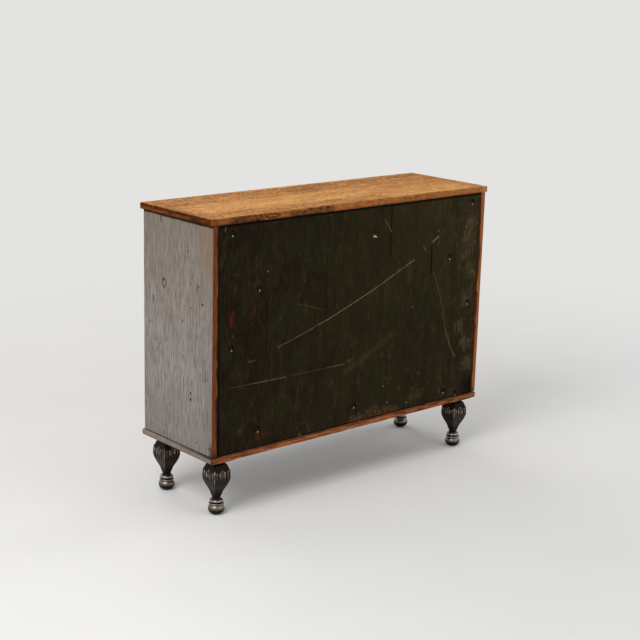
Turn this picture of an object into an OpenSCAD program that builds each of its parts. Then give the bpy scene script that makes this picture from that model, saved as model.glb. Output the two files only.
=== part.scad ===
// Hardware cabinet: a low bank of fourteen drawers on four cast iron feet.
// The drawers open towards -Y and the closed back faces +Y. The floor is z = 0, and the origin lies
// under the middle of the cabinet, pulls included. Left and right are as seen from the drawers.

/* [Case] */
// Width of the case over its two sides
case_w = 1140; // [1000:5:1300]
// Depth of the side boards, from front edge to back edge
case_d = 350; // [320:5:420]
// Height of the side boards
side_h = 700; // [680:5:800]
// Thickness of the side boards
side_t = 19; // [16:1:24]
// Thickness of the uprights between the drawers
upright_t = 14; // [12:1:18]
// Thickness of the shelves that the drawers run on
shelf_t = 14; // [12:1:18]
// Thickness of the back panel
back_t = 8; // [6:1:12]
// Depth that the back panel lies inside the back edges of the sides
back_recess = 3; // [0:0.5:6]
// Gap along the top and the two sides of the back panel
back_gap = 1; // [0.5:0.5:2]

/* [Top] */
// Thickness of the top
top_t = 20; // [16:1:28]
// Overhang of the top past each side
top_over_side = 8; // [4:1:16]
// Overhang of the top past the front
top_over_front = 10; // [4:1:18]
// Distance that the edging strips of the top reach in over the sides
edging_in = 16; // [15:1:24]
// Radius of the rounded edges of the top
top_round = 4; // [2:0.5:6]

/* [Base] */
// Thickness of the base board
base_t = 19; // [16:1:24]
// Overhang of the base past each side
base_over_side = 3; // [1:1:8]
// Overhang of the base past the front
base_over_front = 12; // [6:1:18]
// Radius of the rounded edges of the base
base_round = 6; // [3:0.5:7]

/* [Rails] */
// Height of the rails under the top, front and back
top_rail_h = 42; // [40:1:60]
// Height of the low rail behind the bottom drawers
low_rail_h = 70; // [60:1:90]
// Thickness of the rails
rail_t = 18; // [16:1:22]

/* [Drawers] */
// Gap between a drawer and the upright or side on each side of it
side_gap = 1.5; // [1:0.25:3]
// Gap between a drawer's underside and the shelf that it runs on
run_gap = 0.3; // [0.2:0.1:0.6]
// Gap between a drawer front and the shelf over it
over_gap = 3; // [2:0.5:5]
// Gap between a closed drawer and the stop behind it
stop_gap = 0.5; // [0.3:0.1:2]
// Thickness of the drawer fronts
front_t = 18; // [14:1:22]
// Radius of the rounded face edges of the drawer fronts
front_round = 2; // [1:0.5:4]
// Thickness of the drawers' side boards
box_side_t = 10; // [8:1:14]
// Thickness of the drawers' back boards
box_back_t = 10; // [8:1:14]
// Thickness of the drawers' bottom boards
box_bottom_t = 6; // [4:1:9]
// Height of the drawers' bottom boards above the runners
box_bottom_up = 8; // [5:1:12]
// Height of the drawers' side boards
box_h = 120; // [90:2:132]
// Hairline joint between the boards of a drawer or the strips of the top, and under pull screws
hairline = 0.1; // [0.05:0.05:0.2]
// Width of a stop block
stop_w = 30; // [20:1:50]
// Height of a stop block
stop_h = 20; // [14:1:30]

/* [Pulls] */
// Length of the cup of a pull
cup_l = 76; // [64:1:86]
// Outer radius of the cup
cup_r = 22; // [19:0.5:26]
// Wall of the cup
cup_wall = 2; // [1.5:0.25:3]
// Length of a pull's back plate
plate_l = 102; // [98:1:116]
// Height of a pull's back plate
plate_h = 30; // [28:1:36]
// Thickness of a pull's back plate
plate_t = 2; // [1.5:0.25:3]
// Depth of the lower edge of the cup under the middle of the plate
cup_down = 12; // [8:0.5:13]
// Radius of the shank of a pull screw
pull_screw_r = 1.9; // [1.5:0.1:2.4]
// Radius of the head of a pull screw
pull_head_r = 3.8; // [3.4:0.1:4.2]

/* [Feet] */
// Height of a foot
foot_h = 178; // [170:1:195]
// Distance from the outside of the case to the middle of a foot
foot_in_side = 52; // [46:1:80]
// Distance from the back of the case to the middle of a back foot
foot_in_back = 45; // [42:1:80]
// Distance from the front of the case to the middle of a front foot
foot_in_front = 45; // [42:1:80]
// Width of the square plate on top of a foot
flange_w = 80; // [76:1:84]
// Thickness of that plate
flange_t = 4; // [3:0.5:6]
// Width of the square stem under the plate
stem_w = 38; // [32:1:44]
// Greatest width of the square bulb
bulb_w = 61; // [52:1:68]
// Height of the greatest width above the floor
belly_z = 120; // [112:1:126]
// Height of the shoulder, where the bulb meets the stem
shoulder_z = 162; // [150:1:163]
// Width of the bulb's neck
neck_w = 26; // [22:1:30]
// Height of the neck above the floor
neck_z = 56; // [52:1:62]
// Radius of the ring under the neck
ring_r = 21; // [19:0.5:23]
// Radius of the collar under the ring
collar_r = 22.8; // [21:0.2:24]
// Radius of the ball that stands on the floor
ball_r = 25.5; // [24:0.5:28]

/* [Nails and screws] */
// Radius of a nail
nail_r = 1.4; // [1:0.1:1.8]
// Length of a nail under its head
nail_l = 34; // [30:1:38]
// Radius of a nail head
nail_head_r = 3; // [2.4:0.1:3.6]
// Thickness of a nail head
nail_head_t = 1.2; // [0.8:0.1:1.6]
// Radius of the sunk holes over the nails in the back panel
sunk_r = 4; // [3.8:0.1:5]
// Depth of those holes
sunk_t = 2.5; // [2:0.25:4]
// Length of the nails in the back panel under their heads
back_nail_l = 20; // [16:1:21]
// Distance from the back edge of a side to its back row of shelf nails
nail_in_back = 113; // [80:1:140]
// Distance from the front edge of a side to its front row of shelf nails
nail_in_front = 60; // [40:1:80]
// Distance from the front or back edge of a side to the end nails in the top and the base
nail_in_end = 22; // [16:1:34]
// Radius of the shank of a foot screw
screw_r = 2.3; // [2:0.1:2.6]
// Gap around a screw's shank in the hole of a foot's plate or a pull's plate
screw_gap = 0.3; // [0.2:0.1:0.5]
// Radius of the head of a foot screw
screw_head_r = 4.5; // [4:0.1:5]
// Distance from the middle of a foot to its screws, along each side of the plate
screw_out = 31; // [29:0.5:32]
// Length of a foot screw inside the base board
screw_in = 14; // [10:1:15]

/* [Hidden] */
$fn = 48;
// Length by which a cutter passes the face that it cuts
past = 1;

// Rows and columns of drawers: the bottom row is wide, and the rows over it are small
rows = 4;
small_columns = 4;
wide_columns = 2;
small_count = (rows - 1) * small_columns;

// Planes across the depth of the cabinet
pull_reach = plate_t + cup_r;
front_reach = max(pull_reach, base_over_front, top_over_front);
y_back = (case_d + front_reach) / 2;
y_front = y_back - case_d;
y_panel = y_back - back_recess;
y_inside = y_panel - back_t;
y_stop = y_inside - rail_t;

// Heights
z_base = foot_h;
z_floor = z_base + base_t;
z_under_top = z_floor + side_h;
z_top = z_under_top + top_t;
edging_w = top_over_side + edging_in;
bay_h = (side_h - top_rail_h - (rows - 1) * shelf_t) / rows;
row_pitch = bay_h + shelf_t;

// Widths of the bays
inner_w = case_w - 2 * side_t;
wide_w = (inner_w - (wide_columns - 1) * upright_t) / wide_columns;
small_w = (inner_w - (small_columns - 1) * upright_t) / small_columns;

// Drawers: the height of a front and the depth of a box
front_h = bay_h - run_gap - over_gap;
box_l = y_stop - stop_gap - y_front - front_t;

// Screws of the pulls: how far they lie from the middle of the plate, and how deep they go
pull_screw_x = (cup_l + plate_l) / 4;
pull_screw_in = 12;
pull_head_t = 1.8;
slot_w = 0.9;
slot_t = 0.8;

// Feet: the beads that are turned under the neck, and the screws
core_r = 15;
ring_bead = 4;
collar_bead = 3.5;
ball_bead = 16.5;
ring_z = neck_z - 13;
collar_z = ring_z - 10;
ball_z = 17;
curve_steps = 10;
screw_head_t = 2.4;

// Heights above the base board of the nails through the back edges of the sides
edge_nail_z = [62, 187, 344, 598];
// Distances from the inner faces of the sides to the nails in the back panel
nail_outer_right = 52;
nail_outer_left = 40;
nail_inner_right = 155;
nail_inner_left = 138;
nail_low_left = 79;
// Height of the nails over the lower edge of the top rail
rail_nail_up = 14;
// Heights of the nails in the low rail: the two high ones, the lower one and the lowest
low_nail_high = 57;
low_nail_mid = 31;
low_nail_low = 12;

// Left edge of a column, where the bays are w wide
function column_x(c, w) = -inner_w / 2 + c * (w + upright_t);
// Underside of the bays in row r, counted from the bottom
function row_z(r) = z_floor + r * row_pitch;
// Middle height of the shelf under row r
function shelf_z(r) = row_z(r) - shelf_t / 2;

// Each drawer: its number, the left edge and underside of its bay, the bay's width and its pulls.
// They are numbered from the top left to the bottom right.
small_drawers = [
    for (i = [0 : small_count - 1])
        [i + 1, column_x(i % small_columns, small_w), row_z(rows - 1 - floor(i / small_columns)),
         small_w, 1]
];
wide_drawers = [
    for (c = [0 : wide_columns - 1])
        [small_count + c + 1, column_x(c, wide_w), row_z(0), wide_w, 2]
];
drawers = concat(small_drawers, wide_drawers);

foot_names = ["foot_front_left", "foot_front_right", "foot_back_left", "foot_back_right"];
foot_x = case_w / 2 - foot_in_side;
foot_places = [
    [-foot_x, y_front + foot_in_front],
    [foot_x, y_front + foot_in_front],
    [-foot_x, y_back - foot_in_back],
    [foot_x, y_back - foot_in_back]
];

// A box from its lowest corner to its highest
module block(low, high) {
    translate(low) cube(high - low);
}

// Outline w wide and t high from [0, 0]: its corners are rounded by r at the left end, or at both
module eased(w, t, r, both = true) {
    translate([r, 0]) square([both ? w - 2 * r : w - r, t]);
    translate([0, r]) square([w, t - 2 * r]);
    for (x = both ? [r, w - r] : [r], z = [r, t - r]) translate([x, z]) circle(r);
}

// A board over the whole case, rounded at its sides and front and sawn square at its back
module rounded_board(over_side, over_front, z, t, r) {
    w = case_w + 2 * over_side;
    d = case_d + over_front;
    intersection() {
        translate([-w / 2, y_back, z]) rotate([90, 0, 0]) linear_extrude(d) eased(w, t, r);
        translate([-w / 2, y_front - over_front, z]) rotate([90, 0, 90])
            linear_extrude(w) eased(d, t, r, false);
    }
}

// The whole top, before it is divided into its board and its edging
module whole_top() {
    rounded_board(top_over_side, top_over_front, z_under_top, top_t, top_round);
}

// Footprint of the middle board of the top
module top_middle() {
    x = case_w / 2 + top_over_side - edging_w;
    y = y_front - top_over_front + edging_w;
    translate([-x, y]) square([2 * x, y_back - y]);
}

// Footprint of the edging strip at the right end, with its mitre at the front
module end_strip() {
    x = case_w / 2 + top_over_side;
    y = y_front - top_over_front;
    polygon([[x, y + hairline], [x, y_back], [x - edging_w, y_back],
             [x - edging_w, y + edging_w + hairline]]);
}

// Footprint of the front edging strip
module front_strip() {
    x = case_w / 2 + top_over_side;
    y = y_front - top_over_front;
    polygon([[-x, y], [x, y], [x - edging_w, y + edging_w], [edging_w - x, y + edging_w]]);
}

// The part of the top that lies over a footprint
module cut_top() {
    intersection() {
        whole_top();
        translate([0, 0, z_under_top - past]) linear_extrude(top_t + 2 * past) children();
    }
}

module top_board() {
    color("#cd9e68") cut_top() top_middle();
}

module top_edging() {
    color("#a8713f") {
        cut_top() end_strip();
        cut_top() mirror([1, 0]) end_strip();
        cut_top() front_strip();
    }
}

module base_board() {
    color("#9a9690")
        rounded_board(base_over_side, base_over_front, z_base, base_t, base_round);
}

module side_right() {
    color("#9a9690")
        block([inner_w / 2, y_front, z_floor], [case_w / 2, y_back, z_under_top]);
}

module side_left() {
    mirror([1, 0, 0]) side_right();
}

// Places on the back panel of its nails, as [x, height above the base board]
back_nail_places = [
    [inner_w / 2 - nail_outer_right, side_h - top_rail_h + rail_nail_up],
    [nail_outer_left - inner_w / 2, side_h - top_rail_h + rail_nail_up],
    [inner_w / 2 - nail_inner_right, shelf_z(3) - z_floor],
    [nail_inner_left - inner_w / 2, shelf_z(3) - z_floor],
    [inner_w / 2 - nail_outer_right, shelf_z(2) - z_floor],
    [nail_outer_left - inner_w / 2, shelf_z(2) - z_floor],
    [inner_w / 2 - nail_inner_right, low_nail_high],
    [0, low_nail_high],
    [nail_inner_left - inner_w / 2, low_nail_mid],
    [nail_low_left - inner_w / 2, low_nail_low]
];

module back_panel() {
    x = inner_w / 2 - back_gap;
    color("#343021") difference() {
        block([-x, y_inside, z_floor], [x, y_panel, z_under_top - back_gap]);
        for (p = back_nail_places)
            translate([p[0], y_panel + past, z_floor + p[1]]) rotate([90, 0, 0])
                cylinder(h = sunk_t + past, r = sunk_r);
    }
}

// An upright whose middle is at x, standing on z, notched for the rails that cross it
module upright(x, z) {
    z_rail = z_under_top - top_rail_h;
    difference() {
        block([x - upright_t / 2, y_front, z], [x + upright_t / 2, y_inside, z_under_top]);
        block([x - upright_t, y_front - past, z_rail],
              [x + upright_t, y_front + rail_t, z_under_top + past]);
        block([x - upright_t, y_stop, z_rail],
              [x + upright_t, y_inside + past, z_under_top + past]);
        block([x - upright_t, y_stop, z_floor - past],
              [x + upright_t, y_inside + past, z_floor + low_rail_h]);
    }
}

// The middle upright stands on the base, and the other two on the wide shelves
module uprights() {
    color("#b98d5c") {
        upright(0, z_floor);
        for (s = [-1, 1]) upright(s * (small_w + upright_t), row_z(1));
    }
}

// A shelf under row r, in column c of bays w wide
module shelf(r, c, w) {
    x = column_x(c, w);
    block([x, y_front, row_z(r) - shelf_t], [x + w, y_inside, row_z(r)]);
}

module shelves() {
    color("#b98d5c") {
        for (c = [0 : wide_columns - 1]) shelf(1, c, wide_w);
        for (r = [2 : rows - 1], c = [0 : small_columns - 1]) shelf(r, c, small_w);
    }
}

module front_rail() {
    color("#9a9690")
        block([-inner_w / 2, y_front, z_under_top - top_rail_h],
              [inner_w / 2, y_front + rail_t, z_under_top]);
}

module back_rails() {
    color("#b98d5c") {
        block([-inner_w / 2, y_stop, z_under_top - top_rail_h],
              [inner_w / 2, y_inside, z_under_top]);
        block([-inner_w / 2, y_stop, z_floor], [inner_w / 2, y_inside, z_floor + low_rail_h]);
    }
}

// A stop block at the back of each small bay, in line with the low rail
module drawer_stops() {
    color("#b98d5c") for (d = small_drawers) {
        x = d[1] + d[3] / 2;
        block([x - stop_w / 2, y_stop, d[2]], [x + stop_w / 2, y_inside, d[2] + stop_h]);
    }
}

// A value that runs from a to b in an even S curve as u runs from 0 to 1
function s_curve(a, b, u) = a + (b - a) * (1 - cos(180 * u)) / 2;
// A value that runs from a to b as a quarter of an ellipse, level at a
function quarter_round(a, b, u) = b + (a - b) * sqrt(1 - u * u);

// Outline of the bulb and its stem seen from one side
module bulb_side() {
    rise = [for (i = [0 : curve_steps]) let (u = i / curve_steps)
        [s_curve(neck_w, bulb_w, u) / 2, neck_z + (belly_z - neck_z) * u]];
    shoulder = [for (i = [1 : curve_steps]) let (u = sin(90 * i / curve_steps))
        [quarter_round(bulb_w, stem_w, u) / 2, belly_z + (shoulder_z - belly_z) * u]];
    half = concat([[neck_w / 2, ring_z]], rise, shoulder, [[stem_w / 2, foot_h - flange_t]]);
    polygon(concat(half, [for (i = [len(half) - 1 : -1 : 0]) [-half[i][0], half[i][1]]]));
}

// Half outline of the turned ring, collar and ball under the bulb
module turned_half() {
    square([core_r, ring_z]);
    translate([ring_r - ring_bead, ring_z]) circle(ring_bead);
    translate([0, ring_z - ring_bead]) square([ring_r - ring_bead, 2 * ring_bead]);
    translate([collar_r - collar_bead, collar_z]) circle(collar_bead);
    translate([0, collar_z - collar_bead]) square([collar_r - collar_bead, 2 * collar_bead]);
    intersection() {
        translate([ball_r - ball_bead, ball_z]) circle(ball_bead);
        square([ball_r, 2 * ball_z]);
    }
}

// The places of a foot's four screws, from its middle
screw_places = [for (x = [-1, 1], y = [-1, 1]) [x * screw_out, y * screw_out]];

// A foot cast in one piece: plate, stem, square bulb and turned ball
module foot(i) {
    color("#3a3733") translate(foot_places[i]) {
        intersection() {
            translate([0, bulb_w, 0]) rotate([90, 0, 0]) linear_extrude(2 * bulb_w) bulb_side();
            translate([-bulb_w, 0, 0]) rotate([90, 0, 90]) linear_extrude(2 * bulb_w) bulb_side();
        }
        rotate_extrude() turned_half();
        difference() {
            translate([-flange_w / 2, -flange_w / 2, foot_h - flange_t])
                cube([flange_w, flange_w, flange_t]);
            for (p = screw_places)
                translate([p[0], p[1], foot_h - flange_t - past])
                    cylinder(h = flange_t + 2 * past, r = screw_r + screw_gap);
        }
    }
}

// A screw with a low tapered head and a slot: its head's seat is z = 0 and its shank points up
module screw(shank_r, shank_l, head_r, head_t) {
    difference() {
        union() {
            cylinder(h = shank_l, r = shank_r);
            translate([0, 0, -head_t]) cylinder(h = head_t, r1 = 0.7 * head_r, r2 = head_r);
        }
        translate([-head_r, -slot_w / 2, -head_t - past])
            cube([2 * head_r, slot_w, slot_t + past]);
    }
}

module foot_screws() {
    color("#4a4540") for (f = foot_places, p = screw_places)
        translate([f[0] + p[0], f[1] + p[1], foot_h - flange_t])
            screw(screw_r, flange_t + screw_in, screw_head_r, screw_head_t);
}

// A nail whose head's outer face is z = 0 and whose shank points down
module nail(shank_l) {
    translate([0, 0, -nail_head_t]) cylinder(h = nail_head_t, r = nail_head_r);
    translate([0, 0, -nail_head_t - shank_l]) cylinder(h = shank_l + nail_head_t, r = nail_r);
}

module back_nails() {
    color("#8f8a80") for (p = back_nail_places)
        translate([p[0], y_panel - sunk_t + nail_head_t, z_floor + p[1]])
            rotate([-90, 0, 0]) nail(back_nail_l);
}

// The nails of the right side: into the shelves, the back panel, and down and up its ends
module right_side_nails() {
    for (r = [1 : rows - 1], y = [y_front + nail_in_front, y_back - nail_in_back])
        translate([case_w / 2, y, shelf_z(r)]) rotate([0, 90, 0]) nail(nail_l);
    for (z = edge_nail_z)
        translate([case_w / 2, (y_panel + y_inside) / 2, z_floor + z])
            rotate([0, 90, 0]) nail(nail_l);
    x = (case_w - side_t) / 2;
    for (y = [y_front + nail_in_end, (y_front + y_back) / 2, y_back - nail_in_end]) {
        translate([x, y, z_top]) nail(nail_l);
        translate([x, y, z_base]) mirror([0, 0, 1]) nail(nail_l);
    }
}

module case_nails() {
    color("#8f8a80") {
        right_side_nails();
        mirror([1, 0, 0]) right_side_nails();
    }
}

// The front of drawer d, rounded at the four edges of its face
module drawer_front(d) {
    w = d[3] - 2 * side_gap;
    color("#c8965a") translate([d[1] + side_gap, y_front, d[2] + run_gap]) intersection() {
        rotate([90, 0, 90]) linear_extrude(w) eased(front_t, front_h, front_round, false);
        linear_extrude(front_h) mirror([1, -1]) eased(front_t, w, front_round, false);
    }
}

// The box of drawer d: two side boards, a back board and a bottom board between them
module drawer_box(d) {
    x0 = d[1] + side_gap;
    x1 = d[1] + d[3] - side_gap;
    x0_in = x0 + box_side_t + hairline;
    x1_in = x1 - box_side_t - hairline;
    y0 = y_front + front_t;
    y1 = y0 + box_l;
    z0 = d[2] + run_gap;
    z_bottom = z0 + box_bottom_up;
    color("#c7a376") {
        block([x0, y0, z0], [x0 + box_side_t, y1, z0 + box_h]);
        block([x1 - box_side_t, y0, z0], [x1, y1, z0 + box_h]);
        block([x0_in, y1 - box_back_t, z0], [x1_in, y1, z0 + box_h]);
        block([x0_in, y0, z_bottom], [x1_in, y1 - box_back_t - hairline, z_bottom + box_bottom_t]);
    }
}

// Half outline of a capsule of radius r and length l that turns about the y axis
module half_capsule(r, l) {
    translate([0, r - l / 2]) square([r, l - 2 * r]);
    intersection() {
        for (s = [-1, 1]) translate([0, s * (l / 2 - r)]) circle(r);
        translate([0, -l / 2]) square([r, l]);
    }
}

// A cup pull in one casting, with its plate's back on y = 0 and its middle at the origin
module cup_pull() {
    translate([0, -plate_t, -cup_down]) rotate([0, 90, 0]) rotate([0, 0, 180])
        rotate_extrude(angle = 90) difference() {
            half_capsule(cup_r, cup_l);
            half_capsule(cup_r - cup_wall, cup_l - 2 * cup_wall);
        }
    difference() {
        rotate([90, 0, 0]) linear_extrude(plate_t) {
            square([plate_l - plate_h, plate_h], center = true);
            for (s = [-1, 1]) translate([s * (plate_l - plate_h) / 2, 0]) circle(plate_h / 2);
        }
        for (s = [-1, 1]) translate([s * pull_screw_x, past, 0]) rotate([90, 0, 0])
            cylinder(h = plate_t + 2 * past, r = pull_screw_r + screw_gap);
    }
}

// The pulls of drawer d, each with its two screws
module drawer_pull(d) {
    z = d[2] + run_gap + front_h / 2;
    color("#3a3733") for (i = [0 : d[4] - 1])
        translate([d[1] + d[3] * (i + 0.5) / d[4], y_front, z]) {
            cup_pull();
            for (s = [-1, 1]) translate([s * pull_screw_x, -plate_t - hairline, 0])
                rotate([-90, 0, 0])
                    screw(pull_screw_r, plate_t + pull_screw_in, pull_head_r, pull_head_t);
        }
}

top_board();
top_edging();
base_board();
side_left();
side_right();
back_panel();
uprights();
shelves();
front_rail();
back_rails();
drawer_stops();
foot_screws();
back_nails();
case_nails();
for (i = [0 : len(foot_names) - 1]) {
    foot(i);
}
for (d = drawers) {
    drawer_front(d);
    drawer_box(d);
    drawer_pull(d);
}
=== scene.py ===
"""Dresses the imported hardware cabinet: oiled oak top, rubbed grey paint, a dark stained back with its
scratches, cast iron feet with leaves, and fourteen oak drawers with iron cup pulls."""

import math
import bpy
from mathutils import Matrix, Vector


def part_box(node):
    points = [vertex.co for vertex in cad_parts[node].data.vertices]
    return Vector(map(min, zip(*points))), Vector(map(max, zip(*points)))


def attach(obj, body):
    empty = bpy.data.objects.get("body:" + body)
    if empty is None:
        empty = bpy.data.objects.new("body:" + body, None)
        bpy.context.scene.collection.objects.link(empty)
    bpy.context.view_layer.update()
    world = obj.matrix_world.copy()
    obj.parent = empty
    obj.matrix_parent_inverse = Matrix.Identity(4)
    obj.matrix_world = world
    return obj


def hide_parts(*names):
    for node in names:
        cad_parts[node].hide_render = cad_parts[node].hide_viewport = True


bl_info = {
    "name": "Hardware cabinet",
    "version": (1, 0, 0),
    "blender": (4, 5, 0),
    "location": "3D View > Sidebar > Cabinet",
    "description": "Dresses the packed hardware cabinet in worn wood, paint and cast iron",
    "category": "Object",
}

import bmesh
import bpy
import numpy as np
from mathutils import Matrix, Vector

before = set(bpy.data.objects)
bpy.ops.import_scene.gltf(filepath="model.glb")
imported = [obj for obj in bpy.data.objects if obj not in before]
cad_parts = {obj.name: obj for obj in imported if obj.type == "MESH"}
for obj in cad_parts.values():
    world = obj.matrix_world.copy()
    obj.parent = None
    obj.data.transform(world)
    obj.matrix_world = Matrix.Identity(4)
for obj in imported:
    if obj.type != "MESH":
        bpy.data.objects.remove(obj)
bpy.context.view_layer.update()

MM = 0.001
CASE = "case"
DRAWERS = range(1, 15)
WIDE_DRAWERS = (13, 14)


def corners(node):
    """The lowest and the highest corner of a CAD node, in metres."""
    return [np.array(corner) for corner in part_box(node)]


# Planes and heights of the case, read from its boards
SIDE_LO, SIDE_HI = corners("side_right")
TOP_LO, TOP_HI = corners("top_board")
EDGE_LO, EDGE_HI = corners("top_edging")
BASE_LO, BASE_HI = corners("base_board")
PANEL_HI = corners("back_panel")[1]
Y_BACK = SIDE_HI[1]
X_INNER, X_OUTER, X_END = SIDE_LO[0], SIDE_HI[0], EDGE_HI[0]
Z_FLOOR, Z_UNDER = SIDE_LO[2], TOP_LO[2]
Z_EDGE = (TOP_LO[2] + TOP_HI[2]) / 2


def linear(code):
    """An sRGB hex colour as linear red, green, blue and alpha, by the sRGB curve."""
    c = np.array([int(code[i : i + 2], 16) for i in (1, 3, 5)]) / 255
    c = np.where(c <= 0.04045, c / 12.92, ((c + 0.055) / 1.055) ** 2.4)
    return (*(float(x) for x in c), 1.0)


def colour(name, code, description):
    """A colour property with an sRGB hex default."""
    return bpy.props.FloatVectorProperty(
        name=name, description=description, subtype="COLOR", size=4, min=0, max=1,
        default=linear(code))


def length(name, default_mm, description):
    """A length property with a default in millimetres."""
    return bpy.props.FloatProperty(
        name=name, description=description, unit="LENGTH", min=0, default=default_mm * MM)


class CabinetSizes(bpy.types.PropertyGroup):
    """Sizes of the wear and the castings."""

    arris: length("Arris", 1.1, "Radius of the sawn edges of the boards")
    wear: length("Edge wear", 0.9, "How much more the worn stretches of an edge are rounded")
    top_round: length("Top rounding", 4.0, "Radius of the rounded edges of the top")
    base_round: length("Base rounding", 6.0, "Radius of the rounded edges of the base")
    front_round: length("Front rounding", 2.2, "Radius of the face edges of the drawer fronts")
    relief: length("Leaf relief", 2.6, "Depth of the leaves cast on the feet")
    lift: length("Side gap", 2.6, "Gap that has opened under the back of the side boards")


class CabinetColours(bpy.types.PropertyGroup):
    """Colours of the finishes."""

    oak_light: colour("Light oak", "#d7a160", "Honey tone of the oiled oak")
    oak_mid: colour("Oak", "#b57b43", "Main tone of the oiled oak")
    oak_dark: colour("Dark oak", "#7c4a22", "Pores and dark streaks of the oak")
    edge_light: colour("Rubbed edge", "#7a4217", "Brown wood on the ends of the top")
    # Brown stain, also laid as painted shade on the lower arris of the top's edges
    brown_stain_and_shade: colour("Brown edge", "#471f08", "Old stain on the edges of the top")
    edge_orange: colour("Orange edge", "#ae6f38", "Rubbed wood on the back edge of the top")
    # Dark stain, also laid as painted shade: on the lower arris of the top's ends, along the inner rim and
    # foot of the sides' back edges, along the sides' lower edge and on the base under the side boards
    dark_stain_and_shade: colour("Stained edge", "#231006", "Dirt and old stain on edges and in corners")
    end_near: colour("Right end grain", "#80532f", "Sawn end of the right edging strip")
    end_far: colour("Left end grain", "#a77853", "Sawn end of the left edging strip")
    paint: colour("Paint", "#928a83", "Rubbed grey paint")
    paint_warm: colour("Yellowed paint", "#897c6b", "Yellowed paint of the upper half of the sides")
    paint_cool: colour("Cool paint", "#868288", "Cool brush streaks of the paint")
    paint_pale: colour("Pale paint", "#a39c95", "Pale brush streaks of the paint")
    paint_worn: colour("Worn paint", "#6b6259", "Wood that shows through thin paint")
    ochre: colour("Ochre stain", "#84694a", "Stain on the top corner of the painted side")
    raw_wood: colour("Raw wood", "#a86438", "Sawn, unpainted edges of the boards")
    raw_red: colour("Red raw wood", "#62300f", "Old varnish that ran over the back edges of the sides")
    raw_dark: colour("Dark raw wood", "#4a2410", "Dark streaks of those edges")
    back_stain: colour("Back stain", "#1a1309", "Dark stain of the back")
    back_dark: colour("Dark back stain", "#110d06", "Darkest stain of the back")
    back_green: colour("Green back stain", "#272111", "Olive stain of the back")
    back_moss: colour("Mossy back stain", "#252812", "Greenest stain of the back")
    back_brown: colour("Brown back stain", "#251b0f", "Brown, thinner stain of the back")
    back_worn: colour("Worn back stain", "#453920", "Stain that is rubbed thin")
    back_rub: colour("Rubbed back", "#664426", "Bare patches of the back")
    back_dust: colour("Dust", "#75604d", "Dust in the pores of the back")
    scratch: colour("Scratches", "#a38c66", "Bare wood in the scratches of the back")
    # Also laid as the painted glints of light below the nail holes of the back
    chip: colour("Chips", "#c6bcac", "Pale chips down to dry wood and filler")
    dirt: colour("Specks", "#3c322d", "Specks and cracks in the paint")
    # Black for dirt in splits and joints, and for painted shade and shadow: in the back's sunk nail holes,
    # under the overhang of the top, beside the right side board and on the low parts of the iron
    black_dirt_and_shade: colour("Black dirt", "#080604", "Dirt in splits, holes and joints")
    iron: colour("Cast iron", "#2b1c11", "Dark skin of the cast iron")
    iron_rust: colour("Brown iron", "#170d06", "Browner, darker skin of the cast iron")
    # Polished iron, also laid as painted highlight: in bands on the ring, the collar and the top of the
    # ball, and on the high spots of the leaves
    iron_polish_and_highlight: colour("Bright iron", "#ada193", "Polished high spots of the iron")
    nail: colour("Nails", "#3b2f27", "Nail and screw heads")
    nail_rust: colour("Nail rust", "#24150d", "Rust on the nails")
    poplar_dark: colour("Dark poplar", "#93704c", "Dark streaks of the poplar")
    poplar_mid: colour("Poplar", "#bb9a70", "Main tone of the poplar")
    poplar_light: colour("Light poplar", "#d4b88e", "Pale tone of the poplar")
    floor_dark: colour("Floor", "#dcdbd9", "Darker tone of the studio floor")
    floor_pale: colour("Pale floor", "#e2e1df", "Paler tone of the studio floor")
    backdrop: colour("Backdrop", "#e4e3e1", "Even tone behind the cabinet")
    daylight: colour("Daylight", "#f4f4f6", "Tone of the soft light from all round")


def waves(points, size_mm, seed, count=16):
    """Smooth noise, about -1 to 1: a sum of sine waves in seeded directions, each near size_mm long."""
    rng = np.random.default_rng(seed)
    way = rng.normal(size=(count, 3))
    way /= np.linalg.norm(way, axis=1, keepdims=True)
    turns = 2 * np.pi / (size_mm * MM * rng.uniform(0.6, 1.7, count))
    phase = rng.uniform(0, 2 * np.pi, count)
    return np.sin(points @ (way * turns[:, None]).T + phase).sum(axis=1) / math.sqrt(2 * count)


def blend_in(x, low, high):
    """A smooth step: 0 below low, 1 above high, level at both ends."""
    t = np.clip((x - low) / (high - low), 0, 1)
    return t * t * (3 - 2 * t)


def moved(points, axis, values):
    """The points with one coordinate replaced."""
    out = points.copy()
    out[:, axis] = values
    return out


def mirrored(surface):
    """A surface mirrored from the right half of the cabinet to the left."""
    points, faces = surface
    return points * [-1, 1, 1], faces


def outward(points, faces):
    """The faces of a closed surface, turned round if its signed volume is below zero."""
    a, b, c, d = (points[faces[:, i]] for i in range(4))
    volume = (a * np.cross(b, c)).sum() + (a * np.cross(c, d)).sum()
    return faces[:, ::-1] if volume < 0 else faces


def mesh_object(name, points, faces, finish, sharp_deg=38, marks=None):
    """A linked mesh object. `marks` holds the values of its attributes, one for each point. Points that
    lie together become one, and edges that turn by more than sharp_deg are sharp."""
    mesh = bpy.data.meshes.new(name)
    mesh.from_pydata(points, [], faces.tolist())
    for key, values in (marks or {}).items():
        mesh.attributes.new(key, "FLOAT", "POINT").data.foreach_set(
            "value", np.asarray(values, np.float32))
    work = bmesh.new()
    work.from_mesh(mesh)
    bmesh.ops.remove_doubles(work, verts=work.verts, dist=2e-6)
    work.to_mesh(mesh)
    work.free()
    mesh.shade_smooth()
    mesh.set_sharp_from_angle(angle=math.radians(sharp_deg))
    mesh.materials.append(finish)
    made = bpy.data.objects.new(name, mesh)
    bpy.context.scene.collection.objects.link(made)
    return made


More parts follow.
